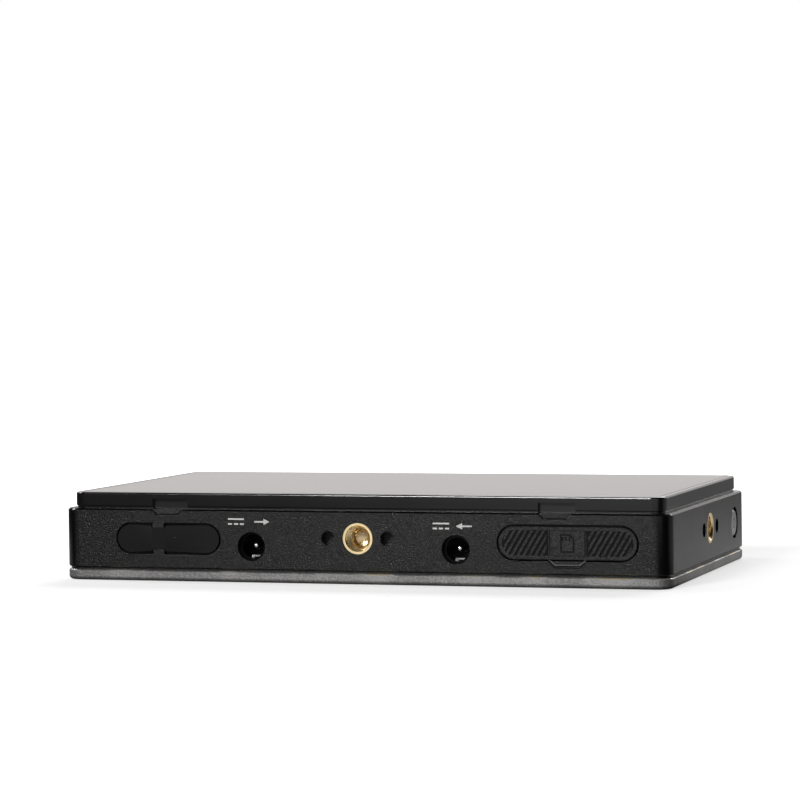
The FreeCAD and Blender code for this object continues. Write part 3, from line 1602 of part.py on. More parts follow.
def export():
    """Writes each sub-part to its own file."""
    os.makedirs("parts", exist_ok=True)
    for label, thing in pieces.items():
        thing.Shape.exportStep(f"parts/{label}.step")
        box = thing.Shape.BoundBox
        size = f"{thing.Shape.Volume:.1f} mm3, z {box.ZMin:.2f} to {box.ZMax:.2f}"
        print(f"{label}: {len(thing.Shape.Solids)} solid, {size}")


build()
check()
export()
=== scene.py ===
"""Looks of a thin camera field monitor lying on its back plate, screen up.

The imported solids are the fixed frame. This script gives them their finishes, adds the fine pieces
that the solids leave out, and sets up the studio. Lengths are in metres, sizes are written in mm.
"""

import logging
import math
from dataclasses import dataclass
from enum import Enum
from typing import Callable, Iterable, Mapping, Sequence, Union

import bmesh
import bpy
from mathutils import Matrix, Vector


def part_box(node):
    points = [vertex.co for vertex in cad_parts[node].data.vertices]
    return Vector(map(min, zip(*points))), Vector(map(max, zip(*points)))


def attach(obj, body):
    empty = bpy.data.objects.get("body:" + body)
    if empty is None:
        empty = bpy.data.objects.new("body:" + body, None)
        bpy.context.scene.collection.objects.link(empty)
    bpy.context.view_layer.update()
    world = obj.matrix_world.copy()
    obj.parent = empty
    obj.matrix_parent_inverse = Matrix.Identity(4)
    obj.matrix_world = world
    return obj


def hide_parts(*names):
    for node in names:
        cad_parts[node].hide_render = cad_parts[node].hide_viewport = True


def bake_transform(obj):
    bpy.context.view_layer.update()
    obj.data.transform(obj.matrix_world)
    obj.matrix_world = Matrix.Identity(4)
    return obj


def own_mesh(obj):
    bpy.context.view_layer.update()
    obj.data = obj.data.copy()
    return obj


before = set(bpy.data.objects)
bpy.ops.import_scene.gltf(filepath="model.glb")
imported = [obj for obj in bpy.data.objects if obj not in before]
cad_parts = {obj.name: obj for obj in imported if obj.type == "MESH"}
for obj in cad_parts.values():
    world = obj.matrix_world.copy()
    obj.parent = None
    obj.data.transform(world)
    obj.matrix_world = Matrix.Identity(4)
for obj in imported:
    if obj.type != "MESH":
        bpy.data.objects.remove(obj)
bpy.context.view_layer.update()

LOG = logging.getLogger("field_monitor")
MM = 0.001
FRONT_Y = -45.5
RIGHT_X = 80.0
HOOD_X = 51.1
BUSH_Z = 11.55
SIDE_BUSH_Y = 1.4
POWER_OUT_X = -28.4
POWER_IN_X = 25.66
POWER_Z = 9.15
CARD_X = 54.2
CARD_Z = 11.1
HOUSING = "housing"

Point = tuple[float, float]
Place = tuple[float, float, float]
Colour = tuple[float, float, float]


class Side(Enum):
    """A side of the housing that a small mark or fitting faces."""

    FRONT = "front"
    RIGHT = "right"


class Axis(Enum):
    """The axis that a turned piece's own Z axis points along."""

    FRONT = (0.0, -1.0, 0.0)
    RIGHT = (1.0, 0.0, 0.0)


class Arrow(Enum):
    """Which way the power goes through a socket."""

    OUT = 1
    IN = -1


# Node trees


class Wire:
    """A node's output that can stand in a sum."""

    def __init__(self, tree: "Tree", socket: bpy.types.NodeSocket) -> None:
        """Keeps the socket and the tree that it belongs to."""
        self.tree = tree
        self.socket = socket

    def _math(self, operation: str, first: "Value", second: "Value") -> "Wire":
        """Adds one Math node.

        Args:
            operation: The node's operation.
            first: Its first value.
            second: Its second value.

        Returns:
            The node's result.
        """
        return self.tree.node("ShaderNodeMath", {"operation": operation}, {0: first, 1: second})

    def __add__(self, other: "Value") -> "Wire":
        """The sum."""
        return self._math("ADD", self, other)

    def __radd__(self, other: "Value") -> "Wire":
        """The sum, with the number first."""
        return self._math("ADD", other, self)

    def __sub__(self, other: "Value") -> "Wire":
        """The difference."""
        return self._math("SUBTRACT", self, other)

    def __rsub__(self, other: "Value") -> "Wire":
        """The difference, with the number first."""
        return self._math("SUBTRACT", other, self)

    def __mul__(self, other: "Value") -> "Wire":
        """The product."""
        return self._math("MULTIPLY", self, other)

    def __rmul__(self, other: "Value") -> "Wire":
        """The product, with the number first."""
        return self._math("MULTIPLY", other, self)

    def __truediv__(self, other: "Value") -> "Wire":
        """The quotient."""
        return self._math("DIVIDE", self, other)

    def __pow__(self, other: "Value") -> "Wire":
        """The power."""
        return self._math("POWER", self, other)

    def __gt__(self, other: "Value") -> "Wire":
        """One where it is above the other, else zero."""
        return self._math("GREATER_THAN", self, other)

    def __lt__(self, other: "Value") -> "Wire":
        """One where it is below the other, else zero."""
        return self._math("LESS_THAN", self, other)

    def __abs__(self) -> "Wire":
        """The size without its sign."""
        return self._math("ABSOLUTE", self, 0.0)


Value = Union[Wire, float, int, Sequence[float]]


class Tree:
    """A node tree under construction."""

    def __init__(self, tree: bpy.types.NodeTree) -> None:
        """Starts from an empty tree."""
        self.tree = tree
        self.tree.nodes.clear()

    def node(
        self,
        kind: str,
        settings: Mapping[str, object] | None = None,
        inputs: Mapping[int | str, object] | None = None,
        output: int | str = 0,
    ) -> Wire:
        """Adds a node.

        Args:
            kind: The node's type.
            settings: Its own settings, which are set first.
            inputs: Values or links of its sockets.
            output: The output to hand back.

        Returns:
            That output.
        """
        node = self.tree.nodes.new(kind)
        for name, value in (settings or {}).items():
            setattr(node, name, value)
        for name, value in (inputs or {}).items():
            if isinstance(value, Wire):
                self.tree.links.new(value.socket, node.inputs[name])
            elif node.inputs[name].type == "RGBA":
                node.inputs[name].default_value = (*value, 1.0)
            else:
                node.inputs[name].default_value = value
        return Wire(self, node.outputs[output] if node.outputs else None)

    def mix(self, share: Value, first: Value, second: Value) -> Wire:
        """Mixes two colours.

        Args:
            share: How much of the second one.
            first: The first colour.
            second: The second colour.

        Returns:
            The mixed colour.
        """
        sockets = {0: share, 6: first, 7: second}
        return self.node("ShaderNodeMix", {"data_type": "RGBA"}, sockets, output=2)

    def spread(self, value: Wire, low: float, high: float) -> Wire:
        """A smooth step from zero at low to one at high."""
        limits = {"Value": value, "From Min": low, "From Max": high}
        return self.node("ShaderNodeMapRange", {"interpolation_type": "SMOOTHSTEP"}, limits)

    def bump(self, distance: float, height: Wire) -> Wire:
        """A normal that follows a height, given the metres that a height of one stands for."""
        sockets = {"Strength": 1.0, "Distance": distance, "Height": height}
        return self.node("ShaderNodeBump", None, sockets)

    def split(self, vector: Wire) -> tuple[Wire, Wire, Wire]:
        """The three parts of a vector.

        Args:
            vector: The vector.

        Returns:
            Its X, Y and Z.
        """
        first = self.node("ShaderNodeSeparateXYZ", None, {0: vector})
        node = first.socket.node
        return first, Wire(self, node.outputs[1]), Wire(self, node.outputs[2])


# Finishes


def shaded(colour: Colour, factor: float) -> Colour:
    """A colour made lighter or darker."""
    red, green, blue = (part * factor for part in colour)
    return red, green, blue


class Surface(Tree):
    """A material's tree, with Object coordinates and the slow and fine noise of its finish."""

    def __init__(self, tree: bpy.types.NodeTree, finish: "Finish") -> None:
        """Adds what every finish reads.

        Args:
            tree: The material's tree.
            finish: The finish that it is for.
        """
        super().__init__(tree)
        self.place = self.node("ShaderNodeTexCoord", output="Object")
        self.x, self.y, self.z = self.split(self.place)
        self.drift = self.noise(self.place, finish.drift_mm, finish.drift_detail)
        self.grain = finish.grain(self)

    def noise(self, place: Wire, size_mm: float, detail: float) -> Wire:
        """Noise with features of a size and a number of finer layers, about zero to one."""
        sockets = {"Vector": place, "Scale": 1.0 / (size_mm * MM), "Detail": detail}
        return self.node("ShaderNodeTexNoise", None, sockets)

    def cells(self, size_mm: float, distance: str = "EUCLIDEAN") -> Wire:
        """Distance to the middles of cells of a size, about zero to one."""
        sockets = {"Vector": self.place, "Scale": 1.0 / (size_mm * MM)}
        return self.node("ShaderNodeTexVoronoi", {"distance": distance}, sockets)

    def away(self, first: Wire, second: Wire) -> Wire:
        """Length of two parts at right angles."""
        return (first * first + second * second) ** 0.5


@dataclass(frozen=True)
class Finish:
    """A surface finish: the base of every material.

    The fine grain is a bump of noise on Object coordinates, and colour and roughness drift slowly.
    """

    name: str
    colour: Colour
    roughness: float = 0.5
    metallic: float = 0.0
    grain_mm: float = 0.4
    grain_height_mm: float = 0.01
    grain_detail: float = 2.0
    drift_mm: float = 12.0
    drift_detail: float = 2.0
    drift_share: float = 0.4
    drift_range: Point = (0.36, 0.64)
    colour_drift: float = 0.15
    roughness_drift: float = 0.06
    specular: float = 0.5
    coat: float = 0.0
    coat_rough: float = 0.08

    def material(self) -> bpy.types.Material:
        """The finish as a material, made once.

        Returns:
            The material.
        """
        known = bpy.data.materials.get(self.name)
        if known:
            return known
        made = bpy.data.materials.new(self.name)
        made.use_nodes = True
        made.diffuse_color = (*self.colour, 1.0)
        on = Surface(made.node_tree, self)
        sockets = {
            "Base Color": self.tint(on),
            "Roughness": self.polish(on),
            "Metallic": self.metallic,
            "Specular IOR Level": self.specular,
            "Coat Weight": self.coat,
            "Coat Roughness": self.coat_rough,
            "Normal": self.relief(on),
        }
        shader = on.node("ShaderNodeBsdfPrincipled", None, sockets)
        on.node("ShaderNodeOutputMaterial", None, {"Surface": shader})
        return made

    def grain(self, on: Surface) -> Wire:
        """The finest grain of the surface."""
        return on.noise(on.place, self.grain_mm, self.grain_detail)

    def tint(self, on: Surface) -> Wire:
        """The colour over the surface.

        Args:
            on: The material.

        Returns:
            The colour.
        """
        low, high = (shaded(self.colour, 1.0 + way * self.colour_drift) for way in (-1.0, 1.0))
        share = on.drift * self.drift_share + on.grain * (1.0 - self.drift_share)
        return on.mix(on.spread(share, *self.drift_range), low, high)

    def polish(self, on: Surface) -> Wire:
        """The roughness over the surface."""
        return (on.drift - 0.5) * self.roughness_drift + self.roughness

    def relief(self, on: Surface) -> Wire:
        """The normal over the surface, bumped by the grain."""
        return on.bump(self.grain_height_mm * MM, on.grain)


@dataclass(frozen=True)
class MouldedGrain(Finish):
    """Plastic from a spark-eroded mould: a pebbled grain of two sizes with painted sparkle on its crests,
    smoothed on the edges, where the painted sparkle is left off as painted shade.
    """

    grain_detail: float = 1.0
    pebble_mm: float = 0.55
    pebble_share: float = 0.25
    # Pale colour on the grain's crests: painted sparkle.
    painted_sparkle_colour: Colour = (0.022, 0.0215, 0.021)
    painted_sparkle_range: Point = (0.44, 0.6)
    bores_mm: Sequence[tuple[float, float, float]] = ()
    bore_from_y_mm: float = -45.35
    # Painted shade on the socket holes' walls, and on the card flap between its ribs and along its edge.
    painted_shade_colour: Colour = (0.001, 0.001, 0.001)
    bore_polish: float = 0.6
    edge_power: float = 8.0
    edge_range: Point = (0.97, 0.55)
    worn_polish: float = 0.17
    worn_smooth: float = 0.85
    # How much smoothing and painted shade the rounded edges get.
    wear_and_shade_share: float = 1.0

    def grain(self, on: Surface) -> Wire:
        """Fine noise over rounded pebbles."""
        return super().grain(on) * (1.0 - self.pebble_share) + on.cells(self.pebble_mm) * self.pebble_share

    def worn_and_shaded(self, on: Surface) -> Wire:
        """Where the grain is smoothed away, and where the painted sparkle is left off as painted shade on
        rounded edges and corners.

        Args:
            on: The material.

        Returns:
            One on rounded edges and corners, zero on flat faces.
        """
        normal = on.split(on.node("ShaderNodeTexCoord", output="Normal"))
        x, y, z = (abs(part) ** self.edge_power for part in normal)
        return on.spread(x + y + z, *self.edge_range) * self.wear_and_shade_share

    def bore(self, on: Surface) -> Wire | float:
        """The walls of the socket holes, which get painted shade.

        Args:
            on: The material.

        Returns:
            One on those walls, zero elsewhere.
        """
        inside: Wire | float = 0.0
        for x, z, radius in self.bores_mm:
            near = on.away(on.x - x * MM, on.z - z * MM) < radius * MM
            inside = inside + near * (on.y > self.bore_from_y_mm * MM) * (on.y < 0.0)
        return inside

    def tint(self, on: Surface) -> Wire:
        """Painted sparkle on the high grain, left off the edges as painted shade, and painted shade on the
        socket holes' walls.

        Args:
            on: The material.

        Returns:
            The colour.
        """
        sparkle_mask = on.spread(on.grain, *self.painted_sparkle_range) * (1.0 - self.worn_and_shaded(on))
        sparkled = on.mix(sparkle_mask, super().tint(on), self.painted_sparkle_colour)
        return on.mix(self.bore(on), sparkled, self.painted_shade_colour)

    def polish(self, on: Surface) -> Wire:
        """Smoother on worn edges and in the socket holes."""
        smooth = self.worn_and_shaded(on) * self.worn_polish + self.bore(on) * (self.roughness * self.bore_polish)
        return super().polish(on) - smooth

    def relief(self, on: Surface) -> Wire:
        """Grained on flat faces, smooth on worn edges and in the socket holes."""
        flat = (1.0 - self.worn_and_shaded(on) * self.worn_smooth) * (1.0 - self.bore(on))
        return on.bump(self.grain_height_mm * MM, on.grain * flat)


@dataclass(frozen=True)
class GripRubber(MouldedGrain):
    """Ribbed rubber: grained on top of its ribs, dull between them, with painted shade between them and along
    the flap's edge.
    """

    floor_y_mm: float = -45.36
    pill_mm: tuple[float, float, float, float] = (CARD_X, CARD_Z, 13.5, 4.05)
    rim_mm: float = 0.3
    groove_rough: float = 0.45

    def groove(self, on: Surface) -> Wire:
        """One between the ribs, zero on top of them."""
        return on.y > self.floor_y_mm * MM

    def rim(self, on: Surface) -> Wire:
        """The flap's edge.

        Args:
            on: The material.

        Returns:
            The flap's edge, which gets painted shade.
        """
        middle_x, middle_z, reach, radius = (v * MM for v in self.pill_mm)
        along = abs(on.x - middle_x) - reach
        far = on.away((along + abs(along)) * 0.5, on.z - middle_z)
        return on.spread(far, radius - self.rim_mm * MM, radius)

    def tint(self, on: Surface) -> Wire:
        """Painted shade between the ribs and along the edge."""
        rim_shaded = on.mix(self.rim(on), super().tint(on), self.painted_shade_colour)
        return on.mix(self.groove(on), rim_shaded, self.painted_shade_colour)

    def polish(self, on: Surface) -> Wire:
        """Dull between the ribs."""
        return Finish.polish(self, on) + self.groove(on) * self.groove_rough


@dataclass(frozen=True)
class NotchedLacquer(Finish):
    """Hard gloss over a dark base, left matt and grained in the sun hood notches."""

    coat: float = 0.25
    notch_mm: tuple[float, float, float] = (HOOD_X, 43.4, 4.9)
    notch_top_mm: float = 20.95
    notch_grain: float = 0.03
    notch_rough: float = 0.14

    def notch(self, on: Surface) -> Wire:
        """One in the notches, zero on the gloss."""
        middle, deep, half = (v * MM for v in self.notch_mm)
        return (abs(abs(on.x) - middle) < half) * (abs(on.y) < deep) * (on.z < self.notch_top_mm * MM)

    def polish(self, on: Surface) -> Wire:
        """Matt in the notches."""
        return super().polish(on) + self.notch(on) * self.notch_rough

    def relief(self, on: Surface) -> Wire:
        """Grained in the notches, nearly smooth elsewhere."""
        return on.bump(MM, on.grain * (self.notch(on) * self.notch_grain + self.grain_height_mm))


@dataclass(frozen=True)
class GatedRubber(Finish):
    """Rubber moulding with the small pit of its gate."""

    gate_mm: Point = (-49.15, 11.4)
    gate_radius_mm: float = 0.34
    gate_deep: float = 14.0

    def relief(self, on: Surface) -> Wire:
        """Fine skin, sunk at the gate.

        Args:
            on: The material.

        Returns:
            The normal.
        """
        far = on.away(on.x - self.gate_mm[0] * MM, on.z - self.gate_mm[1] * MM)
        pit = on.spread(far, 0.0, self.gate_radius_mm * MM) * self.gate_deep
        return on.bump(self.grain_height_mm * MM, on.grain + pit)


@dataclass(frozen=True)
class ScreenGlass(Finish):
    """Cover glass over a switched-off screen: a printed border around the picture area."""

    picture_half_mm: Point = (69.0, 38.8)
    picture_colour: Colour = (0.012, 0.013, 0.015)

    def tint(self, on: Surface) -> Wire:
        """Border print outside the picture area, the dark panel inside it."""
        wide, tall = (v * MM for v in self.picture_half_mm)
        return on.mix((abs(on.x) < wide) * (abs(on.y) < tall), self.colour, self.picture_colour)


@dataclass(frozen=True)
class BlastedMetal(Finish):
    """Blasted metal plate with a machined bevel along the upper edge of its rim, painted bright in patches as
    a highlight, with yellow painted glints.
    """

    bevel_from_mm: float = 2.44
    # Painted highlight in patches along the bevel, and yellow painted glints.
    bevel_highlight_colour: Colour = (0.55, 0.54, 0.5)
    bevel_highlight_range: Point = (0.46, 0.56)
    bevel_polish: float = 0.15
    glint_colour: Colour = (0.58, 0.5, 0.3)
    glint_range: Point = (0.58, 0.66)

    def edge(self, on: Surface) -> Wire:
        """One on the bevel, zero below it."""
        return on.z > self.bevel_from_mm * MM

    def tint(self, on: Surface) -> Wire:
        """Grey blast, with a painted highlight in patches on the bevel and yellow painted glints in places.
        """
        bevel = on.mix(on.spread(on.drift, *self.glint_range), self.bevel_highlight_colour, self.glint_colour)
        return on.mix(self.edge(on) * on.spread(on.drift, *self.bevel_highlight_range), super().tint(on), bevel)

    def polish(self, on: Surface) -> Wire:
        """Rough blast, smoother bevel."""
        return super().polish(on) - self.edge(on) * self.bevel_polish


@dataclass(frozen=True)
class TurnedMetal(Finish):
    """Metal from a lathe: fine rings around the piece's own axis, and a smoother bore with painted shade
    deeper in.
    """

    centre_mm: Place = (0.0, 0.0, 0.0)
    along: int = 1
    ring_mm: float = 0.16
    bore_mm: float = 3.3
    bore_edge_mm: float = 0.06
    bore_polish: float = 0.15
    # Painted shade deeper in the bore.
    bore_shade: float = 0.3
    bore_dark: float = 0.12
    shade_mm: Point = (1.2, 5.0)

    def offsets(self, on: Surface) -> tuple[Wire, Wire]:
        """Where a point is in the piece's own terms.

        Args:
            on: The material.

        Returns:
            Distance from the axis, and depth behind the mouth.
        """
        parts = [part - at * MM for part, at in zip((on.x, on.y, on.z), self.centre_mm)]
        deep = abs(parts.pop(self.along))
        return on.away(*parts), deep

    def grain(self, on: Surface) -> Wire:
        """Noise over the distance from the axis."""
        sockets = {"W": self.offsets(on)[0], "Scale": 1.0 / (self.ring_mm * MM), "Detail": self.grain_detail}
        return on.node("ShaderNodeTexNoise", {"noise_dimensions": "1D"}, sockets)

    def tint(self, on: Surface) -> Wire:
        """The metal's colour, with painted shade towards the bottom of its bore."""
        share = on.spread(self.offsets(on)[1], *(v * MM for v in self.shade_mm)) * self.bore_shade
        return on.mix(share, super().tint(on), shaded(self.colour, self.bore_dark))

    def polish(self, on: Surface) -> Wire:
        """Smoother on the thread than on the faced end."""
        edge = (self.bore_mm + self.bore_edge_mm) * MM
        return super().polish(on) - on.spread(self.offsets(on)[0], edge, self.bore_mm * MM) * self.bore_polish


@dataclass(frozen=True)
class BrushedMetal(Finish):
    """Sheet metal with fine strokes along one axis."""

    grain_detail: float = 3.0
    along: Sequence[float] = (0.05, 1.0, 1.0)

    def grain(self, on: Surface) -> Wire:
        """Noise drawn out along the strokes."""
        stretched = on.node("ShaderNodeMapping", None, {"Vector": on.place, "Scale": tuple(self.along)})
        return on.noise(stretched, self.grain_mm, self.grain_detail)


@dataclass(frozen=True)
class BoardResist(Finish):
    """Circuit board: copper tracks under coloured resist."""

    track_mm: float = 2.2
    track_light: float = 1.7
    track_range: Point = (0.3, 0.34)

    def tint(self, on: Surface) -> Wire:
        """Lighter over the tracks."""
        share = on.spread(on.cells(self.track_mm, "CHEBYCHEV"), *self.track_range)
        return on.mix(share, self.colour, shaded(self.colour, self.track_light))


BLACK_GRAIN = {"grain_mm": 0.24, "grain_height_mm": 0.1, "pebble_mm": 0.36}
# Painted sparkle on the grain, painted shade on rounded edges, corners and the socket holes' walls.
FRAME_PLASTIC = MouldedGrain(
    "frame_plastic",
    (0.0015, 0.0015, 0.0015),
    0.32,
    specular=0.36,
    painted_sparkle_colour=(0.016, 0.0158, 0.0156),
    bores_mm=((POWER_OUT_X, POWER_Z, 3.8), (POWER_IN_X, POWER_Z, 3.8)),
    **BLACK_GRAIN,
)
# Painted sparkle right up to the edges, with no smoothed edges and no painted shade there.
RAMP_PLASTIC = MouldedGrain(
    "ramp_plastic",
    (0.0015, 0.0015, 0.0015),
    0.5,
    specular=0.12,
    painted_sparkle_colour=(0.022, 0.0217, 0.0214),
    wear_and_shade_share=0.0,
    **BLACK_GRAIN,
)
BEZEL_GLOSS = NotchedLacquer(
    "bezel_gloss", (0.003, 0.003, 0.0033), 0.16, grain_mm=0.3, grain_height_mm=0.0004
)
GLASS = ScreenGlass(
    "screen_glass", (0.004, 0.004, 0.0045), 0.04, grain_height_mm=0.0, roughness_drift=0.02
)
PLATE_METAL = BlastedMetal(
    "plate_metal", (0.245, 0.241, 0.239), 0.52, 0.75, grain_mm=0.4, grain_height_mm=0.06, colour_drift=0.3
)
DATA_RUBBER = GatedRubber(
    "data_rubber", (0.006, 0.006, 0.0062), 0.4, grain_mm=0.5, grain_height_mm=0.006, specular=0.18
)
# Painted sparkle on the ribs' grain, painted shade between the ribs and along the flap's edge.
CARD_RUBBER = GripRubber(
    "card_rubber",
    (0.008, 0.008, 0.008),
    0.42,
    grain_mm=0.4,
    grain_height_mm=0.12,
    specular=0.26,
    painted_sparkle_colour=(0.024, 0.024, 0.024),
    painted_shade_colour=(0.0025, 0.0025, 0.0025),
)
BARREL_PLASTIC = Finish(
    "barrel_plastic", (0.001, 0.001, 0.001), 0.12, grain_height_mm=0.0, specular=0.2
)
# Darker rubber for the raised card sign: painted shade of its relief.
SIGN_SHADE_RUBBER = Finish("sign_shade_rubber", (0.002, 0.002, 0.002), 0.5, grain_mm=0.3, specular=0.15)
# Pale finish for the strip in the nail notch: a painted highlight along its lip.
LIP_HIGHLIGHT = Finish("lip_highlight_paint", (0.09, 0.09, 0.09), 0.4, grain_mm=0.3, specular=0.4)
SOCKET_PLASTIC = Finish("socket_plastic", (0.008, 0.008, 0.008), 0.35, grain_height_mm=0.002)
BUTTON_PLASTIC = Finish(
    "button_plastic", (0.36, 0.36, 0.365), 0.34, 0.6, grain_mm=0.2, grain_height_mm=0.004
)
PLATED = {"metallic": 1.0, "grain_mm": 0.1, "grain_height_mm": 0.001}
PIN_PLATE = BrushedMetal("pin_plate", (0.86, 0.85, 0.83), 0.16, **PLATED)
CONTACT_GOLD = BrushedMetal("contact_gold", (0.83, 0.62, 0.26), 0.22, **PLATED)
DRAWN = {"grain_mm": 0.15, "grain_height_mm": 0.002}
SOCKET_STEEL = BrushedMetal("socket_steel", (0.56, 0.56, 0.57), 0.3, 1.0, **DRAWN)
SCREW_BLACK = BrushedMetal("screw_black", (0.05, 0.05, 0.052), 0.34, 0.9, **DRAWN)
MARK_INK = Finish("mark_ink", (0.5, 0.495, 0.485), 0.5, **DRAWN)
BOARD = BoardResist("board_resist", (0.012, 0.07, 0.035), 0.35)
CHIP = Finish("chip_resin", (0.018, 0.018, 0.018), 0.5, grain_mm=0.12, grain_height_mm=0.003)
RIBBON = BrushedMetal("ribbon_film", (0.34, 0.16, 0.04), 0.3, along=(1.0, 0.08, 0.08), grain_mm=0.5)
GUIDE = Finish("light_guide", (0.8, 0.8, 0.79), 0.3)
HEAT_PAD = Finish("heat_pad", (0.3, 0.36, 0.42), 0.7, grain_mm=0.3)
ADHESIVE = Finish("adhesive", (0.012, 0.012, 0.012), 0.6)
PANEL = Finish("panel_film", (0.008, 0.008, 0.01), 0.15, grain_height_mm=0.0)

FINISH_NODES: dict[Finish, tuple[str, ...]] = {
    FRAME_PLASTIC: ("main_frame",),
    BEZEL_GLOSS: ("front_bezel",),
    GLASS: ("front_glass",),
    PLATE_METAL: ("back_plate",),
    BUTTON_PLASTIC: ("power_button",),
    CARD_RUBBER: ("card_cover_flap", "card_cover_strap"),
    BARREL_PLASTIC: ("dc_in_socket", "dc_out_socket"),
    PIN_PLATE: ("dc_in_contact", "dc_out_contact"),
    SOCKET_PLASTIC: ("switch_plunger", "headphone_socket", "battery_tray", "battery_latch"),
    SOCKET_STEEL: ("hdmi_in_socket", "hdmi_out_socket", "usb_socket", "card_socket", "backlight_tray"),
    CONTACT_GOLD: ("battery_contacts",),
    ADHESIVE: ("glass_tape",),
    PANEL: ("optical_bond", "lcd_cell"),
    GUIDE: ("backlight_stack",),
    RIBBON: ("display_flex",),
    BOARD: ("main_board", "button_board"),
    CHIP: ("main_chip", "power_switch"),
    HEAT_PAD: ("thermal_pad",),
    SCREW_BLACK: ("board_screws",),
}


# Meshes


Shape = bmesh.types.BMesh
SHARP_DEG = 35.0
PATTERN_SHARP_DEG = 30.0
TINY = 1e-6
BOX_FACES = ((0, 1, 5, 4), (2, 3, 7, 6), (0, 2, 6, 4), (1, 3, 7, 5), (0, 1, 3, 2), (4, 5, 7, 6))


def linked(name: str, data: bpy.types.ID) -> bpy.types.Object:
    """A new object in the scene.

    Args:
        name: Its name.
        data: Its mesh, light or camera.

    Returns:
        The object.
    """
    made = bpy.data.objects.new(name, data)
    bpy.context.scene.collection.objects.link(made)
    return made


def to_object(name: str, shape: Shape, finish: Finish) -> bpy.types.Object:
    """Turns built faces into an object at the origin.

    Args:
        name: The piece's name.
        shape: The faces, in metres; it is used up.
        finish: The piece's finish.

    Returns:
        The object, linked to the scene.
    """
    data = bpy.data.meshes.new(name)
    shape.to_mesh(data)
    shape.free()
    return dress_mesh(name, data, finish, SHARP_DEG)


def dress_mesh(name: str, data: bpy.types.Mesh, finish: Finish, sharp_deg: float) -> bpy.types.Object:
    """Gives a mesh its finish and shading, and an object of its own.

    Args:
        name: The piece's name.
        data: The mesh.
        finish: The piece's finish.
        sharp_deg: Edges sharper than this stay sharp.

    Returns:
        The object, linked to the scene.
    """
    data.name = name
    data.materials.clear()
    data.materials.append(finish.material())
    data.polygons.foreach_set("use_smooth", [True] * len(data.polygons))
    data.set_sharp_from_angle(angle=math.radians(sharp_deg))
    return linked(name, data)


def put_on(made: bpy.types.Object, body: str, slot: str, *stands_for: str) -> bpy.types.Object:
    """Lets a piece ride on a body and stand for solids.

    Args:
        made: The piece.
        body: The body that it moves with.
        slot: Not used.
        stands_for: Solids that it replaces.

    Returns:
        The piece.
    """
    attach(made, body)
    if stands_for:
        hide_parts(*stands_for)
    LOG.info("%s: %d faces on %s", made.name, len(made.data.polygons), body)
    return made


def frame_of(axis: Sequence[float], origin_mm: Sequence[float]) -> Matrix:
    """A place whose own Z axis points along an axis, from mm to metres.

    Args:
        axis: The direction of its Z axis.
        origin_mm: Its origin.

    Returns:
        The matrix from the piece's own mm to the part's metres.
    """
    turn = Vector((0.0, 0.0, 1.0)).rotation_difference(Vector(axis)).to_matrix().to_4x4()
    return Matrix.Translation(Vector(origin_mm) * MM) @ turn @ Matrix.Scale(MM, 4)


def face_frame(side: Side, x: float, z: float, proud: float) -> Matrix:
    """A drawing plane on a side: X to the right, Y up and Z out of the face.

    Args:
        side: The side of the housing.
        x: Where along the side, in the part's X or Y.
        z: How high.
        proud: How far out of the side's plane.

    Returns:
        The matrix from the drawing's mm to the part's metres.
    """
    if side is Side.FRONT:
        axes = Matrix(((1, 0, 0), (0, 0, -1), (0, 1, 0)))
        origin = Vector((x, FRONT_Y - proud, z))
    else:
        axes = Matrix(((0, 0, 1), (1, 0, 0), (0, 1, 0)))
        origin = Vector((RIGHT_X + proud, x, z))
    return Matrix.Translation(origin * MM) @ axes.to_4x4() @ Matrix.Scale(MM, 4)


def lathe(
    profile: Sequence[Point],
    steps: int,
    place: Matrix,
    shape_radius: Callable[[float, float, float], float] | None = None,
) -> Shape:
    """Turns a profile that starts and ends on the axis.

    Args:
        profile: Radius and height of each ring, in order.
        steps: Faces around.
        place: From the piece's own mm to the part.
        shape_radius: Gives the radius from a ring's radius, height and angle, where it isn't round.

    Returns:
        The closed shape.
    """
    shape = bmesh.new()
    rings: list[list[bmesh.types.BMVert]] = []
    for radius, height in profile:
        ring = []
        for step in range(steps if radius > TINY else 1):
            angle = 2.0 * math.pi * step / steps
            real = shape_radius(radius, height, angle) if shape_radius else radius
            ring.append(shape.verts.new((real * math.cos(angle), real * math.sin(angle), height)))
        rings.append(ring)
    for low, high in zip(rings, rings[1:]):
        for step in range(steps):
            after = step + 1
            around = ((low, step), (low, after), (high, after), (high, step))
            corners = [ring[at % len(ring)] for ring, at in around]
            shape.faces.new(list(dict.fromkeys(corners)))
    bmesh.ops.transform(shape, matrix=place, verts=shape.verts)
    bmesh.ops.recalc_face_normals(shape, faces=shape.faces)
    return shape


def prism(shape: Shape, outline: Sequence[Point], depth: float, place: Matrix) -> list[bmesh.types.BMFace]:
    """Adds a flat plate of an outline, its back on the drawing plane.

    Args:
        shape: Where the faces go.
        outline: The corners, anticlockwise.
        depth: How thick it is.
        place: From the drawing to the part.

    Returns:
        The new faces, the front first.
    """
    back = [shape.verts.new(place @ Vector((x, y, 0.0))) for x, y in outline]
    front = [shape.verts.new(place @ Vector((x, y, depth))) for x, y in outline]
    faces = [shape.faces.new(front), shape.faces.new(back[::-1])]
    for at, start in enumerate(back):
        after = (at + 1) % len(back)
        faces.append(shape.faces.new((start, back[after], front[after], front[at])))
    return faces


def strips(shape: Shape, outer: Sequence[Point], inner: Sequence[Point], depth: float, place: Matrix) -> None:
    """Adds a plate along each side between an outline and the same one drawn in.

    Args:
        shape: Where the faces go.
        outer: The outline's corners, anticlockwise, with the first one again where it closes.
        inner: The corners drawn in.
        depth: How thick the plates are.
        place: From the drawing to the part.
    """
    for at in range(len(outer) - 1):
        prism(shape, [outer[at], outer[at + 1], inner[at + 1], inner[at]], depth, place)


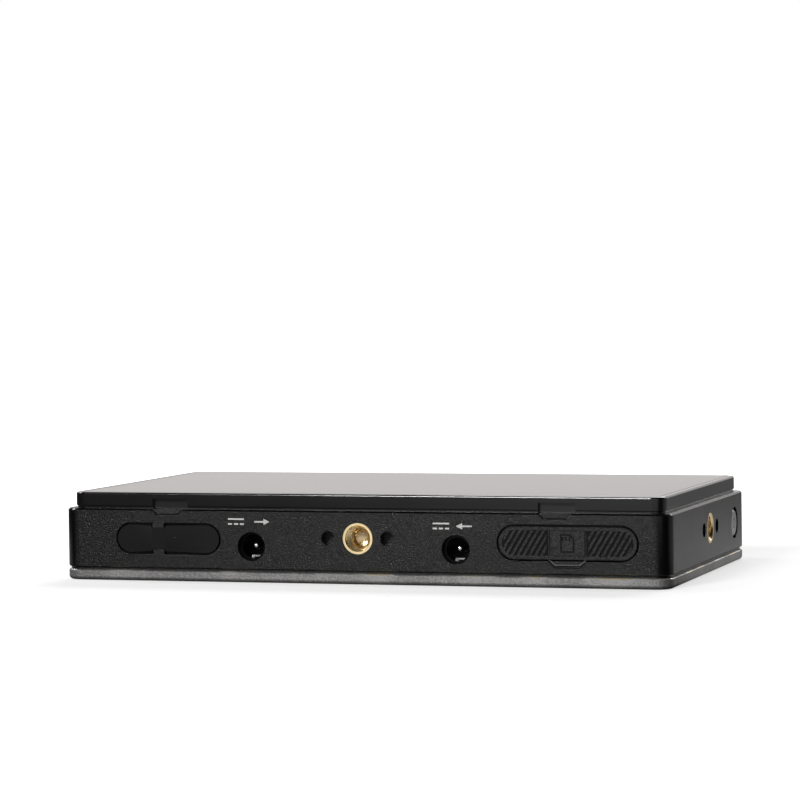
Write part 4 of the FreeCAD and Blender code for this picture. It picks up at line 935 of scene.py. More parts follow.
def cut_across(shape: Shape, normal: Sequence[float], places_mm: Iterable[float]) -> None:
    """Cuts faces along parallel planes, so that they have corners to bend at.

    Args:
        shape: The faces.
        normal: The planes' direction.
        places_mm: Where along it they are.
    """
    for place in places_mm:
        everything = shape.verts[:] + shape.edges[:] + shape.faces[:]
        at = Vector(normal) * (place * MM)
        bmesh.ops.bisect_plane(shape, geom=everything, plane_co=at, plane_no=normal, dist=TINY / 10)


def bar(centre: Point, width: float, height: float) -> list[Point]:
    """Corners of a rectangle around a point.

    Args:
        centre: The point.
        width: Across.
        height: Upwards.

    Returns:
        The corners, anticlockwise.
    """
    signs = ((-1, -1), (1, -1), (1, 1), (-1, 1))
    return [(centre[0] + x * width / 2, centre[1] + y * height / 2) for x, y in signs]


def arc(centre: Point, radius: float, start_deg: float, end_deg: float, steps: int) -> list[Point]:
    """Points along an arc, with both its ends.

    Args:
        centre: Its middle.
        radius: Its radius.
        start_deg: Where it starts.
        end_deg: Where it ends.
        steps: How many stretches it has.

    Returns:
        The points in order.
    """
    angles = [math.radians(start_deg + (end_deg - start_deg) * n / steps) for n in range(steps + 1)]
    return [(centre[0] + radius * math.cos(a), centre[1] + radius * math.sin(a)) for a in angles]


class Pattern(Tree):
    """A Geometry Nodes tree with named sizes, which ends as one plain mesh."""

    def __init__(self, name: str) -> None:
        """Starts an empty tree with a geometry output.

        Args:
            name: The tree's name.
        """
        super().__init__(bpy.data.node_groups.new(name, "GeometryNodeTree"))
        self.tree.interface.new_socket("Geometry", in_out="OUTPUT", socket_type="NodeSocketGeometry")
        self.entry = self.tree.nodes.new("NodeGroupInput")
        self.values: dict[str, object] = {}

    def size(self, name: str, value: object, kind: str = "NodeSocketFloat") -> Wire:
        """Adds a named input.

        Args:
            name: What it is.
            value: Its value on this object.
            kind: Its socket type.

        Returns:
            The input, for links.
        """
        item = self.tree.interface.new_socket(name, in_out="INPUT", socket_type=kind)
        self.values[item.identifier] = value
        return Wire(self, self.entry.outputs[name])

    def lifted(self, geometry: Wire, height: Wire) -> Wire:
        """Geometry moved up by a height."""
        offset = self.node("ShaderNodeCombineXYZ", None, {2: height})
        return self.node("GeometryNodeTransform", None, {"Geometry": geometry, "Translation": offset})

    def joined(self, *parts: Wire) -> Wire:
        """Several parts as one geometry.

        Args:
            parts: The parts.

        Returns:
            The geometry.
        """
        node = self.tree.nodes.new("GeometryNodeJoinGeometry")
        for part in reversed(parts):
            self.tree.links.new(part.socket, node.inputs[0])
        return Wire(self, node.outputs[0])

    def make(self, name: str, points: Wire, instance: Wire, finish: Finish) -> bpy.types.Object:
        """Evaluates the tree and keeps its result as a plain mesh.

        Args:
            name: The piece's name.
            points: Where the repeats stand.
            instance: What repeats.
            finish: The piece's finish.

        Returns:
            The object, with no modifier left.
        """
        sockets = {"Points": points, "Instance": instance}
        repeats = self.node("GeometryNodeInstanceOnPoints", None, sockets)
        sockets = {"Geometry": self.node("GeometryNodeRealizeInstances", None, {"Geometry": repeats})}
        sockets["Material"] = finish.material()
        painted = self.node("GeometryNodeSetMaterial", None, sockets)
        self.node("NodeGroupOutput", None, {"Geometry": painted})
        carrier = linked(f"{name}_carrier", bpy.data.meshes.new(f"{name}_carrier"))
        modifier = carrier.modifiers.new(name, "NODES")
        modifier.node_group = self.tree
        for identifier, value in self.values.items():
            modifier[identifier] = value
        graph = bpy.context.evaluated_depsgraph_get()
        data = bpy.data.meshes.new_from_object(carrier.evaluated_get(graph))
        carrier.modifiers.remove(modifier)
        bpy.data.objects.remove(carrier)
        return dress_mesh(name, data, finish, PATTERN_SHARP_DEG)


# Sub-assemblies


@dataclass
class ThreadedBush:
    """Closed brass bush for a quarter-inch tripod screw, in a wall of the housing."""

    name: str
    node: str
    axis: Axis
    mouth_mm: Place
    outer: float = 4.0
    mouth: float = 3.35
    core: float = 2.55
    crest: float = 3.15
    pitch: float = 1.27
    flank: Point = (1.25, 2.8)
    length: float = 6.0
    tail: float = 2.2
    tail_radius: float = 3.3
    floor: float = 0.3
    cone: float = 1.5
    edge: float = 0.12
    steps: int = 72
    rows_per_turn: int = 14

    def finish(self) -> TurnedMetal:
        """Brass with turning rings around this bush's own axis."""
        return TurnedMetal(
            f"{self.name}_brass",
            (0.97, 0.77, 0.45),
            0.42,
            1.0,
            grain_height_mm=0.006,
            colour_drift=0.12,
            centre_mm=self.mouth_mm,
            along=1 if self.axis is Axis.FRONT else 0,
        )

    def wall_radius(self, radius: float, height: float, angle: float) -> float:
        """The thread's wall: the core between its grooves, which run out in the countersunk mouth.

        Args:
            radius: The plain radius, which is the core's on the threaded wall.
            height: Along the axis.
            angle: Around it.

        Returns:
            The real radius.
        """
        if abs(radius - self.core) > TINY:
            return radius
        sink = radius + max(0.0, height - self.tail - self.length + self.mouth - self.core)
        fade = min(1.0, (height - self.floor - self.cone) / self.pitch)
        turn = (height / self.pitch - angle / (2.0 * math.pi)) % 1.0
        peak, slope = self.flank
        groove = min(1.0, max(0.0, peak - abs(turn - 0.5) * slope))
        return max(sink, radius + (self.crest - self.core) * groove * fade)

    def profile(self) -> list[Point]:
        """The bush's rings.

        Returns:
            Radius and height of each, from the middle of its floor to the middle of its back.
        """
        end = self.tail + self.length
        low = self.floor + self.cone
        rows = int((end - low) / self.pitch * self.rows_per_turn)
        wall = [(self.core, low + (end - low) * row / rows) for row in range(rows + 1)]
        return [
            (0.0, self.floor),
            *wall,
            (self.outer - self.edge, end),
            (self.outer, end - self.edge),
            (self.outer, self.tail),
            (self.tail_radius, self.tail),
            (self.tail_radius, 0.0),
            (0.0, 0.0),
        ]

    def build(self) -> None:
        """Builds the bush in place of its plain solid."""
        deep = (self.tail + self.length) * Vector(self.axis.value)
        place = frame_of(self.axis.value, Vector(self.mouth_mm) - deep)
        shape = lathe(self.profile(), self.steps, place, self.wall_radius)
        put_on(to_object(self.name, shape, self.finish()), HOUSING, "insert_brass", self.node)


@dataclass
class BackScrews:
    """Four socket screws in the corners of the back plate."""

    head_radius: float = 2.3
    head_tall: float = 1.0
    head_steps: int = 40
    hexagon: float = 1.15
    hexagon_deep: float = 0.7
    shank_radius: float = 1.1
    shank_long: float = 6.0
    shank_steps: int = 24

    def build(self) -> None:
        """Makes one screw from primitives and stands it in each corner."""
        low, high = (Vector(corner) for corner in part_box("back_screws"))
        span = high - low - Vector((2.0, 2.0, 0.0)) * self.head_radius * MM
        tree = Pattern("socket_screws")
        sizes = {
            "Head radius": self.head_radius * MM,
            "Head height": self.head_tall * MM,
            "Socket radius": self.hexagon * MM,
            "Socket depth": self.hexagon_deep * MM,
            "Shank radius": self.shank_radius * MM,
            "Shank length": self.shank_long * MM,
            "Spacing X": span.x,
            "Spacing Y": span.y,
        }
        wires = (tree.size(name, value) for name, value in sizes.items())
        radius, tall, hexagon, deep, shank, long, span_x, span_y = wires
        cylinder = "GeometryNodeMeshCylinder"
        head = tree.node(cylinder, None, {"Vertices": self.head_steps, "Radius": radius, "Depth": tall})
        key = tree.node(cylinder, None, {"Vertices": 6, "Radius": hexagon, "Depth": deep * 2.0})
        sockets = {"Mesh 1": tree.lifted(head, tall * 0.5), "Mesh 2": key}
        head = tree.node("GeometryNodeMeshBoolean", {"operation": "DIFFERENCE"}, sockets)
        rod = tree.node(cylinder, None, {"Vertices": self.shank_steps, "Radius": shank, "Depth": long})
        screw = tree.joined(head, tree.lifted(rod, tall + long * 0.5))
        grid = {"Size X": span_x, "Size Y": span_y, "Vertices X": 2, "Vertices Y": 2}
        corners = tree.node("GeometryNodeMeshGrid", None, grid)
        made = tree.make("corner_screws", corners, screw, SCREW_BLACK)
        put_on(made, HOUSING, "screw_steel", "back_screws")


@dataclass
class ContactRow:
    """A row of plated contact strips on one face of a picture socket's tongue."""

    name: str
    y: float
    z: float
    count: int
    x: float = -73.2
    pitch: float = 1.0
    strip_mm: Place = (6.0, 0.5, 0.06)

    def build(self) -> None:
        """Sets the strips along their row."""
        first = (self.x, self.y - self.pitch * (self.count - 1) / 2, self.z)
        sizes = {"Strip": self.strip_mm, "Start": first, "Step": (0.0, self.pitch, 0.0)}
        tree = Pattern(f"{self.name}_row")
        kind = "NodeSocketVector"
        strip, start, step = (tree.size(name, [v * MM for v in mm], kind) for name, mm in sizes.items())
        count = tree.size("Count", self.count, "NodeSocketInt")
        sockets = {"Count": count, "Start Location": start, "Offset": step}
        line = tree.node("GeometryNodeMeshLine", None, sockets)
        cube = tree.node("GeometryNodeMeshCube", None, {"Size": strip})
        put_on(tree.make(self.name, line, cube, CONTACT_GOLD), HOUSING, "contact_metal")


@dataclass
class PowerPin:
    """Centre pin of a barrel socket, with a rounded tip."""

    node: str
    x: float
    z: float = POWER_Z
    radius: float = 1.0
    steps: int = 32
    tip_steps: int = 8

    def build(self) -> None:
        """Turns the pin between the ends of its solid."""
        low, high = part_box(self.node)
        front, back = low[1] / MM, high[1] / MM
        long = back - front
        tip = arc((0.0, long - self.radius), self.radius, 0.0, 90.0, self.tip_steps)
        profile = [(0.0, 0.0), (self.radius, 0.0), *tip[:-1], (0.0, long)]
        place = frame_of(Axis.FRONT.value, (self.x, back, self.z))
        made = to_object(f"{self.node}_turned", lathe(profile, self.steps, place), PIN_PLATE)
        put_on(made, HOUSING, "contact_metal", self.node)


@dataclass
class PowerMark:
    """Printed sign over a barrel socket: steady current, and an arrow for its direction.

    Places and widths along the sign are shares of its width, those across it shares of its height.
    """

    name: str
    x: float
    z: float
    arrow: Arrow
    stroke: float = 0.4
    width: float = 4.3
    height: float = 2.2
    apart: float = 0.75
    line_at: float = 0.28
    dash_step: float = 0.37
    dash_wide: float = 0.25
    tip_at: float = 0.6
    head_at: float = 0.22
    tail_at: float = -0.35
    head_half: float = 0.36
    ink: float = 0.02

    def outlines(self) -> list[list[Point]]:
        """The sign's strokes.

        Returns:
            Outlines of the line, its three dashes, the arrow's bar and its head.
        """
        left, right = -self.width * self.apart, self.width * self.apart
        line = self.height * self.line_at
        drawn = [bar((left, line), self.width, self.stroke)]
        for at in (-1, 0, 1):
            centre = (left + at * self.width * self.dash_step, -line)
            drawn.append(bar(centre, self.width * self.dash_wide, self.stroke))
        way = self.arrow.value
        tip, back, far = (right + way * self.width * at for at in (self.tip_at, self.head_at, self.tail_at))
        drawn.append(bar(((far + back) / 2, 0.0), abs(back - far), self.stroke))
        half = self.height * self.head_half
        head = [(back, -half), (tip, 0.0), (back, half)]
        return [*drawn, head if way > 0 else head[::-1]]

    def build(self) -> None:
        """Prints the sign."""
        place = face_frame(Side.FRONT, self.x, self.z, 0.0)
        shape = bmesh.new()
        for outline in self.outlines():
            prism(shape, outline, self.ink, place)
        put_on(to_object(self.name, shape, MARK_INK), HOUSING, "button_grey")


@dataclass
class PowerButton:
    """Round side button with the sign for switching on and off on its cap."""

    y: float = 31.8
    z: float = 10.6
    setback: float = 0.15
    radius: float = 1.35
    stroke: float = 0.26
    ring_deg: Point = (125.0, 415.0)
    ring_steps: int = 28
    bar_at: float = 0.72
    bar_tall: float = 1.1
    ink: float = 0.02

    def build(self) -> None:
        """Draws the open ring and its bar on the cap."""
        place = face_frame(Side.RIGHT, self.y, self.z, -self.setback)
        half = self.stroke / 2
        outer, inner = (
            arc((0.0, 0.0), self.radius + side, *self.ring_deg, self.ring_steps) for side in (half, -half)
        )
        upright = bar((0.0, self.radius * self.bar_at), self.stroke, self.radius * self.bar_tall)
        shape = bmesh.new()
        for outline in (outer + inner[::-1], upright):
            prism(shape, outline, self.ink, place)
        put_on(to_object("button_sign", shape, SOCKET_PLASTIC), "power_button", "button_grey")


@dataclass
class CardCover:
    """Rubber card flap: the sign of a memory card on its plain panel, and the neck that it bends at."""

    x: float = CARD_X
    z: float = CARD_Z
    panel_setback: float = 0.12
    width: float = 3.6
    height: float = 4.6
    notch: float = 1.2
    notch_inset: float = 0.4
    line: float = 0.42
    rise: float = 0.08
    border: tuple[float, float, float] = (9.2, 6.6, 0.26)
    contact_x: float = -0.35
    contact_at: float = 0.24
    contact_step: float = 0.9
    contact_tall: float = 0.9
    neck_z: float = 14.15
    neck_width: float = 16.4
    neck_tall: float = 0.8
    neck_inside: float = 42.9
    neck_outside: float = 44.9
    neck_bends: Point = (43.3, 44.75)
    neck_steps: int = 16

    def outline(self, inset: float) -> list[Point]:
        """The card's outline with its cut corner.

        Args:
            inset: How far it is drawn in.

        Returns:
            The corners, anticlockwise, with the first one again at the end.
        """
        half, tall = self.width / 2 - inset, self.height / 2 - inset
        cut = self.notch - inset * self.notch_inset
        first = (-half, -tall)
        return [first, (half, -tall), (half, tall - cut), (half - cut, tall), (-half, tall), first]

    def edge(self, inset: float) -> list[Point]:
        """The border's outline, drawn in by an inset, with its first corner again at the end."""
        corners = bar((0.0, 0.0), self.border[0] - 2 * inset, self.border[1] - 2 * inset)
        return [*corners, corners[0]]

    def neck(self) -> None:
        """Builds the rubber neck between the fixed strap and the flap, cut across where it bends."""
        place = face_frame(Side.FRONT, self.x, self.neck_z, self.neck_inside + FRONT_Y)
        shape = bmesh.new()
        deep = self.neck_outside - self.neck_inside
        prism(shape, bar((0.0, 0.0), self.neck_width, self.neck_tall), deep, place)
        near, far = self.neck_bends
        cuts = (-near - (far - near) * step / self.neck_steps for step in range(self.neck_steps + 1))
        cut_across(shape, (0.0, 1.0, 0.0), cuts)
        made = to_object("card_cover_neck", shape, CARD_RUBBER)
        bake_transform(made)
        LOG.info("%s: %d faces between %s and card_cover", made.name, len(made.data.polygons), HOUSING)

    def build(self) -> None:
        """Raises the card's outline and its contacts in a darker rubber that paints the shade of their
        relief, and makes the neck.
        """
        self.neck()
        place = face_frame(Side.FRONT, self.x, self.z, -self.panel_setback)
        shape = bmesh.new()
        strips(shape, self.outline(0.0), self.outline(self.line), self.rise, place)
        strips(shape, self.edge(0.0), self.edge(self.border[2]), self.rise, place)
        for at in (-1, 0, 1):
            centre = (at * self.contact_step + self.contact_x, self.height * self.contact_at)
            prism(shape, bar(centre, self.line, self.contact_tall), self.rise, place)
        put_on(to_object("card_sign", shape, SIGN_SHADE_RUBBER), "card_cover", "cover_rubber")


@dataclass
class HoodRamps:
    """Lead-in ramps for the sun hood's clips, in the four dents at the frame's upper edge."""

    x: float = HOOD_X
    low: float = 17.3
    high: float = 18.35
    wide_low: float = 5.45
    wide_high: float = 7.65
    face_low: float = 0.14
    face_high: float = 0.6
    back: float = 0.7

    def build(self) -> None:
        """Builds a wedge in each dent."""
        shape = bmesh.new()
        for side in (-1.0, 1.0):
            for end in (-1.0, 1.0):
                self.wedge(shape, side * self.x, end)
        bmesh.ops.recalc_face_normals(shape, faces=shape.faces)
        put_on(to_object("hood_ramps", shape, RAMP_PLASTIC), HOUSING, "frame_black")

    def wedge(self, shape: Shape, x: float, end: float) -> None:
        """Adds one wedge.

        Args:
            shape: Where its faces go.
            x: Its middle.
            end: Minus one at the front, one at the rear.
        """
        rows = ((self.low, self.wide_low, self.face_low), (self.high, self.wide_high, self.face_high))
        corners = []
        for z, wide, face in rows:
            for deep in (face, self.back):
                for half in (-wide / 2, wide / 2):
                    y = -end * (FRONT_Y + deep)
                    corners.append(shape.verts.new(Vector((x + half, y, z)) * MM))
        for face in BOX_FACES:
            shape.faces.new([corners[n] for n in face])


@dataclass
class NailLipHighlight:
    """Pale strip around the nail notch under the card cover: a painted highlight along the notch's lip."""

    x: float = CARD_X
    top: float = 7.0
    bottom: float = 5.4
    top_half: float = 5.1
    bottom_half: float = 3.25
    top_inset: float = 1.35
    bottom_inset: float = 0.6
    groove: float = 0.2
    width: float = 0.2
    sunk: float = 0.04
    deep: float = 0.4

    def rim(self, inset: float) -> list[Point]:
        """The notch's two slants and its lower edge.

        Args:
            inset: How far they are drawn in.

        Returns:
            The corners from the left.
        """
        low = self.bottom_half - inset * self.bottom_inset
        high = self.top_half - inset * self.top_inset
        floor = self.bottom + inset
        return [(-high, self.top), (-low, floor), (low, floor), (high, self.top)]

    def build(self) -> None:
        """Builds the painted highlight strip inside the notch's edge."""
        place = face_frame(Side.FRONT, self.x, 0.0, -self.sunk - self.deep)
        shape = bmesh.new()
        strips(shape, self.rim(self.groove), self.rim(self.groove + self.width), self.deep, place)
        put_on(to_object("nail_lip_highlight", shape, LIP_HIGHLIGHT), HOUSING, "frame_black")


@dataclass
class DataCover:
    """Rubber cover over the data socket: a fixed end, a pinched neck and a flap, in one moulding."""

    x: float = -51.0
    z: float = 10.9
    length: float = 27.7
    tall: float = 7.1
    near: float = 0.02
    thick: float = 1.46
    edge: float = 0.3
    edge_steps: int = 4
    notch_x: float = -53.65
    notch_width: float = 3.75
    notch_deep: float = 1.1
    plug_x: float = -44.35
    plug_z: float = 10.4
    plug_width: float = 9.4
    plug_tall: float = 3.4
    plug_deep: float = 1.3
    stud_x: float = -59.425
    stud_radius: float = 1.5
    stud_long: float = 2.3
    stud_steps: int = 24
    arc_steps: int = 20
    bend_cuts: int = 8
    bend_step: float = 0.25

    def outline(self) -> list[Point]:
        """The pill with its two notches.

        Returns:
            The corners, anticlockwise from the lower left.
        """
        half, reach = self.tall / 2, self.length / 2 - self.tall / 2
        left, right = (self.notch_x - self.x + side * self.notch_width / 2 for side in (-1, 1))
        floor = -half + self.notch_deep
        low = [(left, -half), (left, floor), (right, floor), (right, -half)]
        high = [(x, -y) for x, y in reversed(low)]
        right_end = arc((reach, 0.0), half, -90.0, 90.0, self.arc_steps)
        left_end = arc((-reach, 0.0), half, 90.0, 270.0, self.arc_steps)
        return [left_end[-1], *low, *right_end, *high, *left_end[:-1]]

    def place(self, behind: float) -> Matrix:
        """The drawing plane at a depth behind the moulding's inner face."""
        return face_frame(Side.FRONT, self.x, self.z, -self.near - self.thick - behind)

    def build(self) -> None:
        """Builds the moulding and cuts across its neck, so that it has corners to bend at."""
        shape = bmesh.new()
        rim = list(prism(shape, self.outline(), self.thick, self.place(0.0))[0].edges)
        offset = self.edge * MM
        bmesh.ops.bevel(
            shape, geom=rim, offset=offset, segments=self.edge_steps, profile=0.5, affect="EDGES"
        )
        plug = bar((self.plug_x - self.x, self.plug_z - self.z), self.plug_width, self.plug_tall)
        prism(shape, plug, self.plug_deep, self.place(self.plug_deep))
        stud = arc((self.stud_x - self.x, 0.0), self.stud_radius, 0.0, 360.0, self.stud_steps)[:-1]
        prism(shape, stud, self.stud_long, self.place(self.stud_long))
        cuts = range(-self.bend_cuts, self.bend_cuts + 1)
        cut_across(shape, (1.0, 0.0, 0.0), (self.notch_x + cut * self.bend_step for cut in cuts))
        made = to_object("usb_cover_moulding", shape, DATA_RUBBER)
        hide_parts("usb_cover_anchor", "usb_cover_flap")
        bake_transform(made)
        LOG.info("%s: %d faces between %s and usb_cover", made.name, len(made.data.polygons), HOUSING)


@dataclass
class LatchLeaf:
    """Bowed leaf spring behind the battery latch; the real spring flattens as the latch is pressed, but it is
    built only bowed.
    """

    node: str = "latch_spring"
    travel: float = 2.2
    sheet: float = 0.3
    foot: float = 1.5
    steps: int = 24

    def build(self) -> None:
        """Builds the leaf in place of its plain solid."""
        low, high = (Vector(corner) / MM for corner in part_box(self.node))
        half, tall = (high.x - low.x) / 2, high.z - low.z
        under = []
        for step in range(self.steps + 1):
            x = half * (2.0 * step / self.steps - 1.0)
            share = max(0.0, (abs(x) - self.foot) / (half - self.foot))
            under.append((x, (tall - self.sheet) * share * share * (3.0 - 2.0 * share)))
        over = [(x, z + self.sheet) for x, z in reversed(under)]
        shape = bmesh.new()
        place = face_frame(Side.FRONT, 0.0, low.z, FRONT_Y - high.y)
        prism(shape, [*under, *over], high.y - low.y, place)
        made = put_on(to_object("latch_leaf", shape, SOCKET_STEEL), HOUSING, "socket_steel", self.node)
        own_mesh(made)


# Studio


@dataclass(frozen=True)
class Pool:
    """A patch of the floor's own light.

    It fades in across, backwards or with the distance: each pair of places runs from none to all of it.
    """

    level: float
    across: Sequence[Point] = ()
    back: Sequence[Point] = ()
    away: Sequence[Point] = ()

    def glow(self, tree: Tree, x: Wire, y: Wire, far: Wire) -> Wire | float:
        """The patch's light over the floor.

        Args:
            tree: The floor's tree.
            x: Metres across.
            y: Metres backwards.
            far: Metres from the middle.

        Returns:
            The light.
        """
        light: Wire | float = self.level
        for along, fades in ((x, self.across), (y, self.back), (far, self.away)):
            for none, full in fades:
                light = tree.spread(along, none, full) * light
        return light


# Where the floor's light fades in, in metres
RIGHT_FADE = (0.062, 0.1)
RIGHT_EDGE = (0.077, 0.082)
RIGHT_NEAR = (0.12, 0.09)
RIGHT_BACK = (-0.05, 0.0)
RIGHT_END = (0.24, 0.13)
AROUND = ((0.6, 0.25),)
FAR_AHEAD = ((-0.21, -0.26), (-0.45, -0.33))

# What the camera sees of it, and what the part mirrors: ahead, right, left, behind and far ahead
SEEN_POOLS = (
    Pool(0.43),
    Pool(0.8, away=((0.11, 0.45),)),
    Pool(0.4, across=(RIGHT_FADE,)),
    Pool(0.12, across=(RIGHT_FADE, (0.08, 0.12))),
)
MIRRORED_POOLS = (
    Pool(0.34, across=((-0.13, 0.01), (0.1, 0.06)), back=((-0.044, -0.052), (-0.42, -0.2))),
    Pool(0.124, across=(RIGHT_EDGE,), back=(RIGHT_BACK,), away=AROUND),
    Pool(0.186, across=(RIGHT_EDGE,), back=(RIGHT_BACK, RIGHT_END), away=AROUND),
    Pool(0.068, across=(RIGHT_EDGE, RIGHT_NEAR), back=(RIGHT_BACK,), away=AROUND),
    Pool(0.102, across=(RIGHT_EDGE, RIGHT_NEAR), back=(RIGHT_BACK, RIGHT_END), away=AROUND),
    Pool(0.3, across=((-0.081, -0.09), (-0.26, -0.16)), back=((0.07, 0.04), (-0.07, -0.04))),
    Pool(0.35, across=((0.1, 0.07), (-0.1, -0.07)), back=((0.046, 0.055), (0.3, 0.15))),
    Pool(0.16, across=((-0.11, -0.15),), back=FAR_AHEAD),
    Pool(0.16, across=((-0.05, -0.01),), back=FAR_AHEAD),
)


@dataclass(frozen=True)
class SoftBox:
    """A rectangular lamp that points at a target."""

    name: str
    place: Place
    target: Place
    size: Point
    watts: float

    def build(self) -> None:
        """Hangs the lamp."""
        data = bpy.data.lights.new(self.name, "AREA")
        data.shape = "RECTANGLE"
        data.size, data.size_y = self.size
        data.energy = self.watts
        lamp = linked(self.name, data)
        lamp.location = self.place
        lamp.rotation_mode = "QUATERNION"
        lamp.rotation_quaternion = (Vector(self.target) - Vector(self.place)).to_track_quat("-Z", "Y")


SOFT_BOXES = (
    SoftBox("back_top", (0.1, 1.5, 1.3), (0.0, 0.0, 0.0), (1.4, 0.8), 34.0),
    SoftBox("left_fill", (-1.3, 0.1, 1.0), (0.0, 0.0, 0.0), (0.6, 0.6), 14.0),
    SoftBox("front_key", (-0.38, -1.41, 0.82), (0.0, 0.0, 0.01), (0.34, 0.24), 24.0),
)


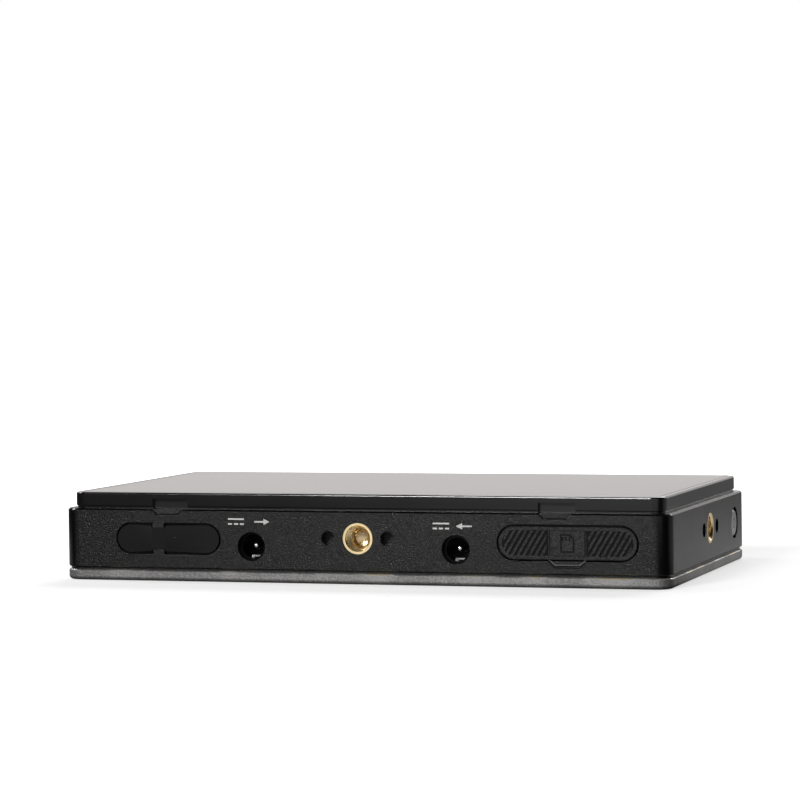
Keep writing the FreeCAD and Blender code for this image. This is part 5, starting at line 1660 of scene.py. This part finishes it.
@dataclass
class Studio:
    """Pale floor, soft light and the camera at the photograph's angle."""

    floor_half: float = 6.0
    floor_z: float = -0.00002
    floor_rough: float = 0.7
    floor_tones: tuple[Colour, Colour] = ((0.49, 0.49, 0.49), (0.51, 0.51, 0.508))
    floor_drift: float = 3.0
    right_tone: Colour = (0.12, 0.12, 0.12)
    mirrored_tone: Colour = (0.025, 0.025, 0.025)
    beyond_fade: Point = (0.25, 0.6)
    behind_fade: Point = (0.2, 0.7)
    behind_level: float = 0.14
    ahead_way: Point = (0.25, -0.97)
    ahead_fade: Point = (0.7, 0.95)
    ahead_level: float = 1.1
    sky_behind_fade: Point = (0.45, 0.85)
    sky_behind_level: float = 0.76
    sky_ahead_level: float = 0.8
    sky_low_fade: Point = (0.75, 0.35)
    sky_dim: float = 0.008
    sky_tone: Colour = (1.0, 0.965, 0.95)
    camera_mm: Place = (248.46, -788.17, 75.47)
    yaw_deg: float = 17.674
    pitch_deg: float = 2.256
    roll_deg: float = -0.026
    focal_px: float = 3133.9
    frame_px: float = 800.0
    sensor_mm: float = 36.0
    clip_m: Point = (0.05, 50.0)

    def ahead(self, tree: Tree, x: Wire, y: Wire) -> Wire:
        """How much a level direction points to the photograph's side."""
        return tree.spread(x * self.ahead_way[0] + y * self.ahead_way[1], *self.ahead_fade)

    def floor_material(self) -> bpy.types.Material:
        """The floor's finish: pale to the camera, with pools of light that only reflections show.

        Returns:
            The material.
        """
        made = bpy.data.materials.new("studio_floor")
        made.use_nodes = True
        tree = Tree(made.node_tree)
        place = tree.node("ShaderNodeTexCoord", output="Object")
        x, y, _ = tree.split(place)
        far = (x * x + y * y) ** 0.5
        seen = tree.node("ShaderNodeLightPath", output="Is Camera Ray")
        shown, mirrored = (
            sum(pool.glow(tree, x, y, far) for pool in pools) for pools in (SEEN_POOLS, MIRRORED_POOLS)
        )
        beyond = tree.spread(far, *self.beyond_fade)
        whole = far + MM
        behind = tree.spread(y / whole, *self.behind_fade) * self.behind_level
        ahead = self.ahead(tree, x / whole, y / whole) * self.ahead_level
        mirrored = mirrored + (behind + ahead) * beyond
        glow = shown * seen + mirrored * (1.0 - seen)
        drift = tree.node("ShaderNodeTexNoise", None, {"Vector": place, "Scale": self.floor_drift})
        tone = tree.mix(tree.spread(x, *RIGHT_FADE), tree.mix(drift, *self.floor_tones), self.right_tone)
        sockets = {
            "Base Color": tree.mix(seen, self.mirrored_tone, tone),
            "Roughness": self.floor_rough,
            "Specular IOR Level": 0.0,
            "Emission Color": tree.node("ShaderNodeCombineXYZ", None, {0: glow, 1: glow, 2: glow}),
            "Emission Strength": 1.0,
        }
        shader = tree.node("ShaderNodeBsdfPrincipled", None, sockets)
        tree.node("ShaderNodeOutputMaterial", None, {"Surface": shader})
        return made

    def floor(self) -> None:
        """Lays a large pale floor under the part."""
        shape = bmesh.new()
        bmesh.ops.create_grid(shape, x_segments=2, y_segments=2, size=self.floor_half)
        data = bpy.data.meshes.new("studio_floor")
        shape.to_mesh(data)
        shape.free()
        data.materials.append(self.floor_material())
        floor = linked("studio_floor", data)
        floor.location.z = self.floor_z

    def surroundings(self) -> None:
        """White to the camera; to the part, bright behind it and ahead, dark to the sides and above."""
        world = bpy.data.worlds.new("studio")
        bpy.context.scene.world = world
        world.use_nodes = True
        tree = Tree(world.node_tree)
        x, y, z = tree.split(tree.node("ShaderNodeTexCoord", output="Generated"))
        behind = tree.spread(y, *self.sky_behind_fade) * self.sky_behind_level
        ahead = self.ahead(tree, x, y) * self.sky_ahead_level
        level = (behind + ahead) * tree.spread(z, *self.sky_low_fade) + self.sky_dim
        seen = tree.node("ShaderNodeLightPath", output="Is Camera Ray")
        strength = level + (1.0 - level) * seen
        sockets = {"Color": tree.mix(seen, self.sky_tone, (1.0, 1.0, 1.0)), "Strength": strength}
        shader = tree.node("ShaderNodeBackground", None, sockets)
        tree.node("ShaderNodeOutputWorld", None, {"Surface": shader})

    def camera(self) -> None:
        """Sets up the camera, with no shift."""
        data = bpy.data.cameras.new("camera")
        data.sensor_width = self.sensor_mm
        data.lens = self.focal_px * self.sensor_mm / self.frame_px
        data.clip_start, data.clip_end = self.clip_m
        turn = Matrix.Rotation(math.radians(self.yaw_deg), 3, "Y")
        turn = turn @ Matrix.Rotation(math.radians(self.pitch_deg), 3, "X")
        turn = turn @ Matrix.Rotation(math.radians(self.roll_deg), 3, "Z")
        right, down, ahead = turn @ Matrix(((1, 0, 0), (0, 0, -1), (0, 1, 0)))
        axes = Matrix((right, -down, -ahead)).transposed().to_4x4()
        eye = linked("camera", data)
        eye.matrix_world = Matrix.Translation(Vector(self.camera_mm) * MM) @ axes
        bpy.context.scene.camera = eye

    def build(self) -> None:
        """Sets up the whole studio."""
        self.floor()
        self.surroundings()
        for lamp in SOFT_BOXES:
            lamp.build()
        self.camera()
        bpy.context.scene.view_settings.view_transform = "Standard"


def dress_solids() -> None:
    """Gives each solid that still shows its finish."""
    for finish, names in FINISH_NODES.items():
        for name in names:
            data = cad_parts[name].data
            data.materials.clear()
            data.materials.append(finish.material())
            LOG.info("%s: %s", name, finish.name)


def main() -> None:
    """Builds the pieces in order."""
    logging.basicConfig(level=logging.INFO, format="%(name)s: %(message)s")
    dress_solids()
    ThreadedBush("bottom_bush", "bottom_insert", Axis.FRONT, (0.0, FRONT_Y, BUSH_Z)).build()
    ThreadedBush("side_bush", "side_insert", Axis.RIGHT, (RIGHT_X, SIDE_BUSH_Y, BUSH_Z)).build()
    BackScrews().build()
    for socket, y in (("hdmi_in", 22.0), ("hdmi_out", -1.0)):
        ContactRow(f"{socket}_contacts_high", y, 11.17, 10).build()
        ContactRow(f"{socket}_contacts_low", y, 9.63, 9).build()
    PowerPin("dc_out_pin", POWER_OUT_X).build()
    PowerPin("dc_in_pin", POWER_IN_X).build()
    PowerMark("dc_out_mark", -29.2, 15.5, Arrow.OUT).build()
    PowerMark("dc_in_mark", 25.1, 15.0, Arrow.IN).build()
    PowerButton().build()
    CardCover().build()
    DataCover().build()
    HoodRamps().build()
    NailLipHighlight().build()
    LatchLeaf().build()
    Studio().build()


if __name__ == "__main__":
    main()
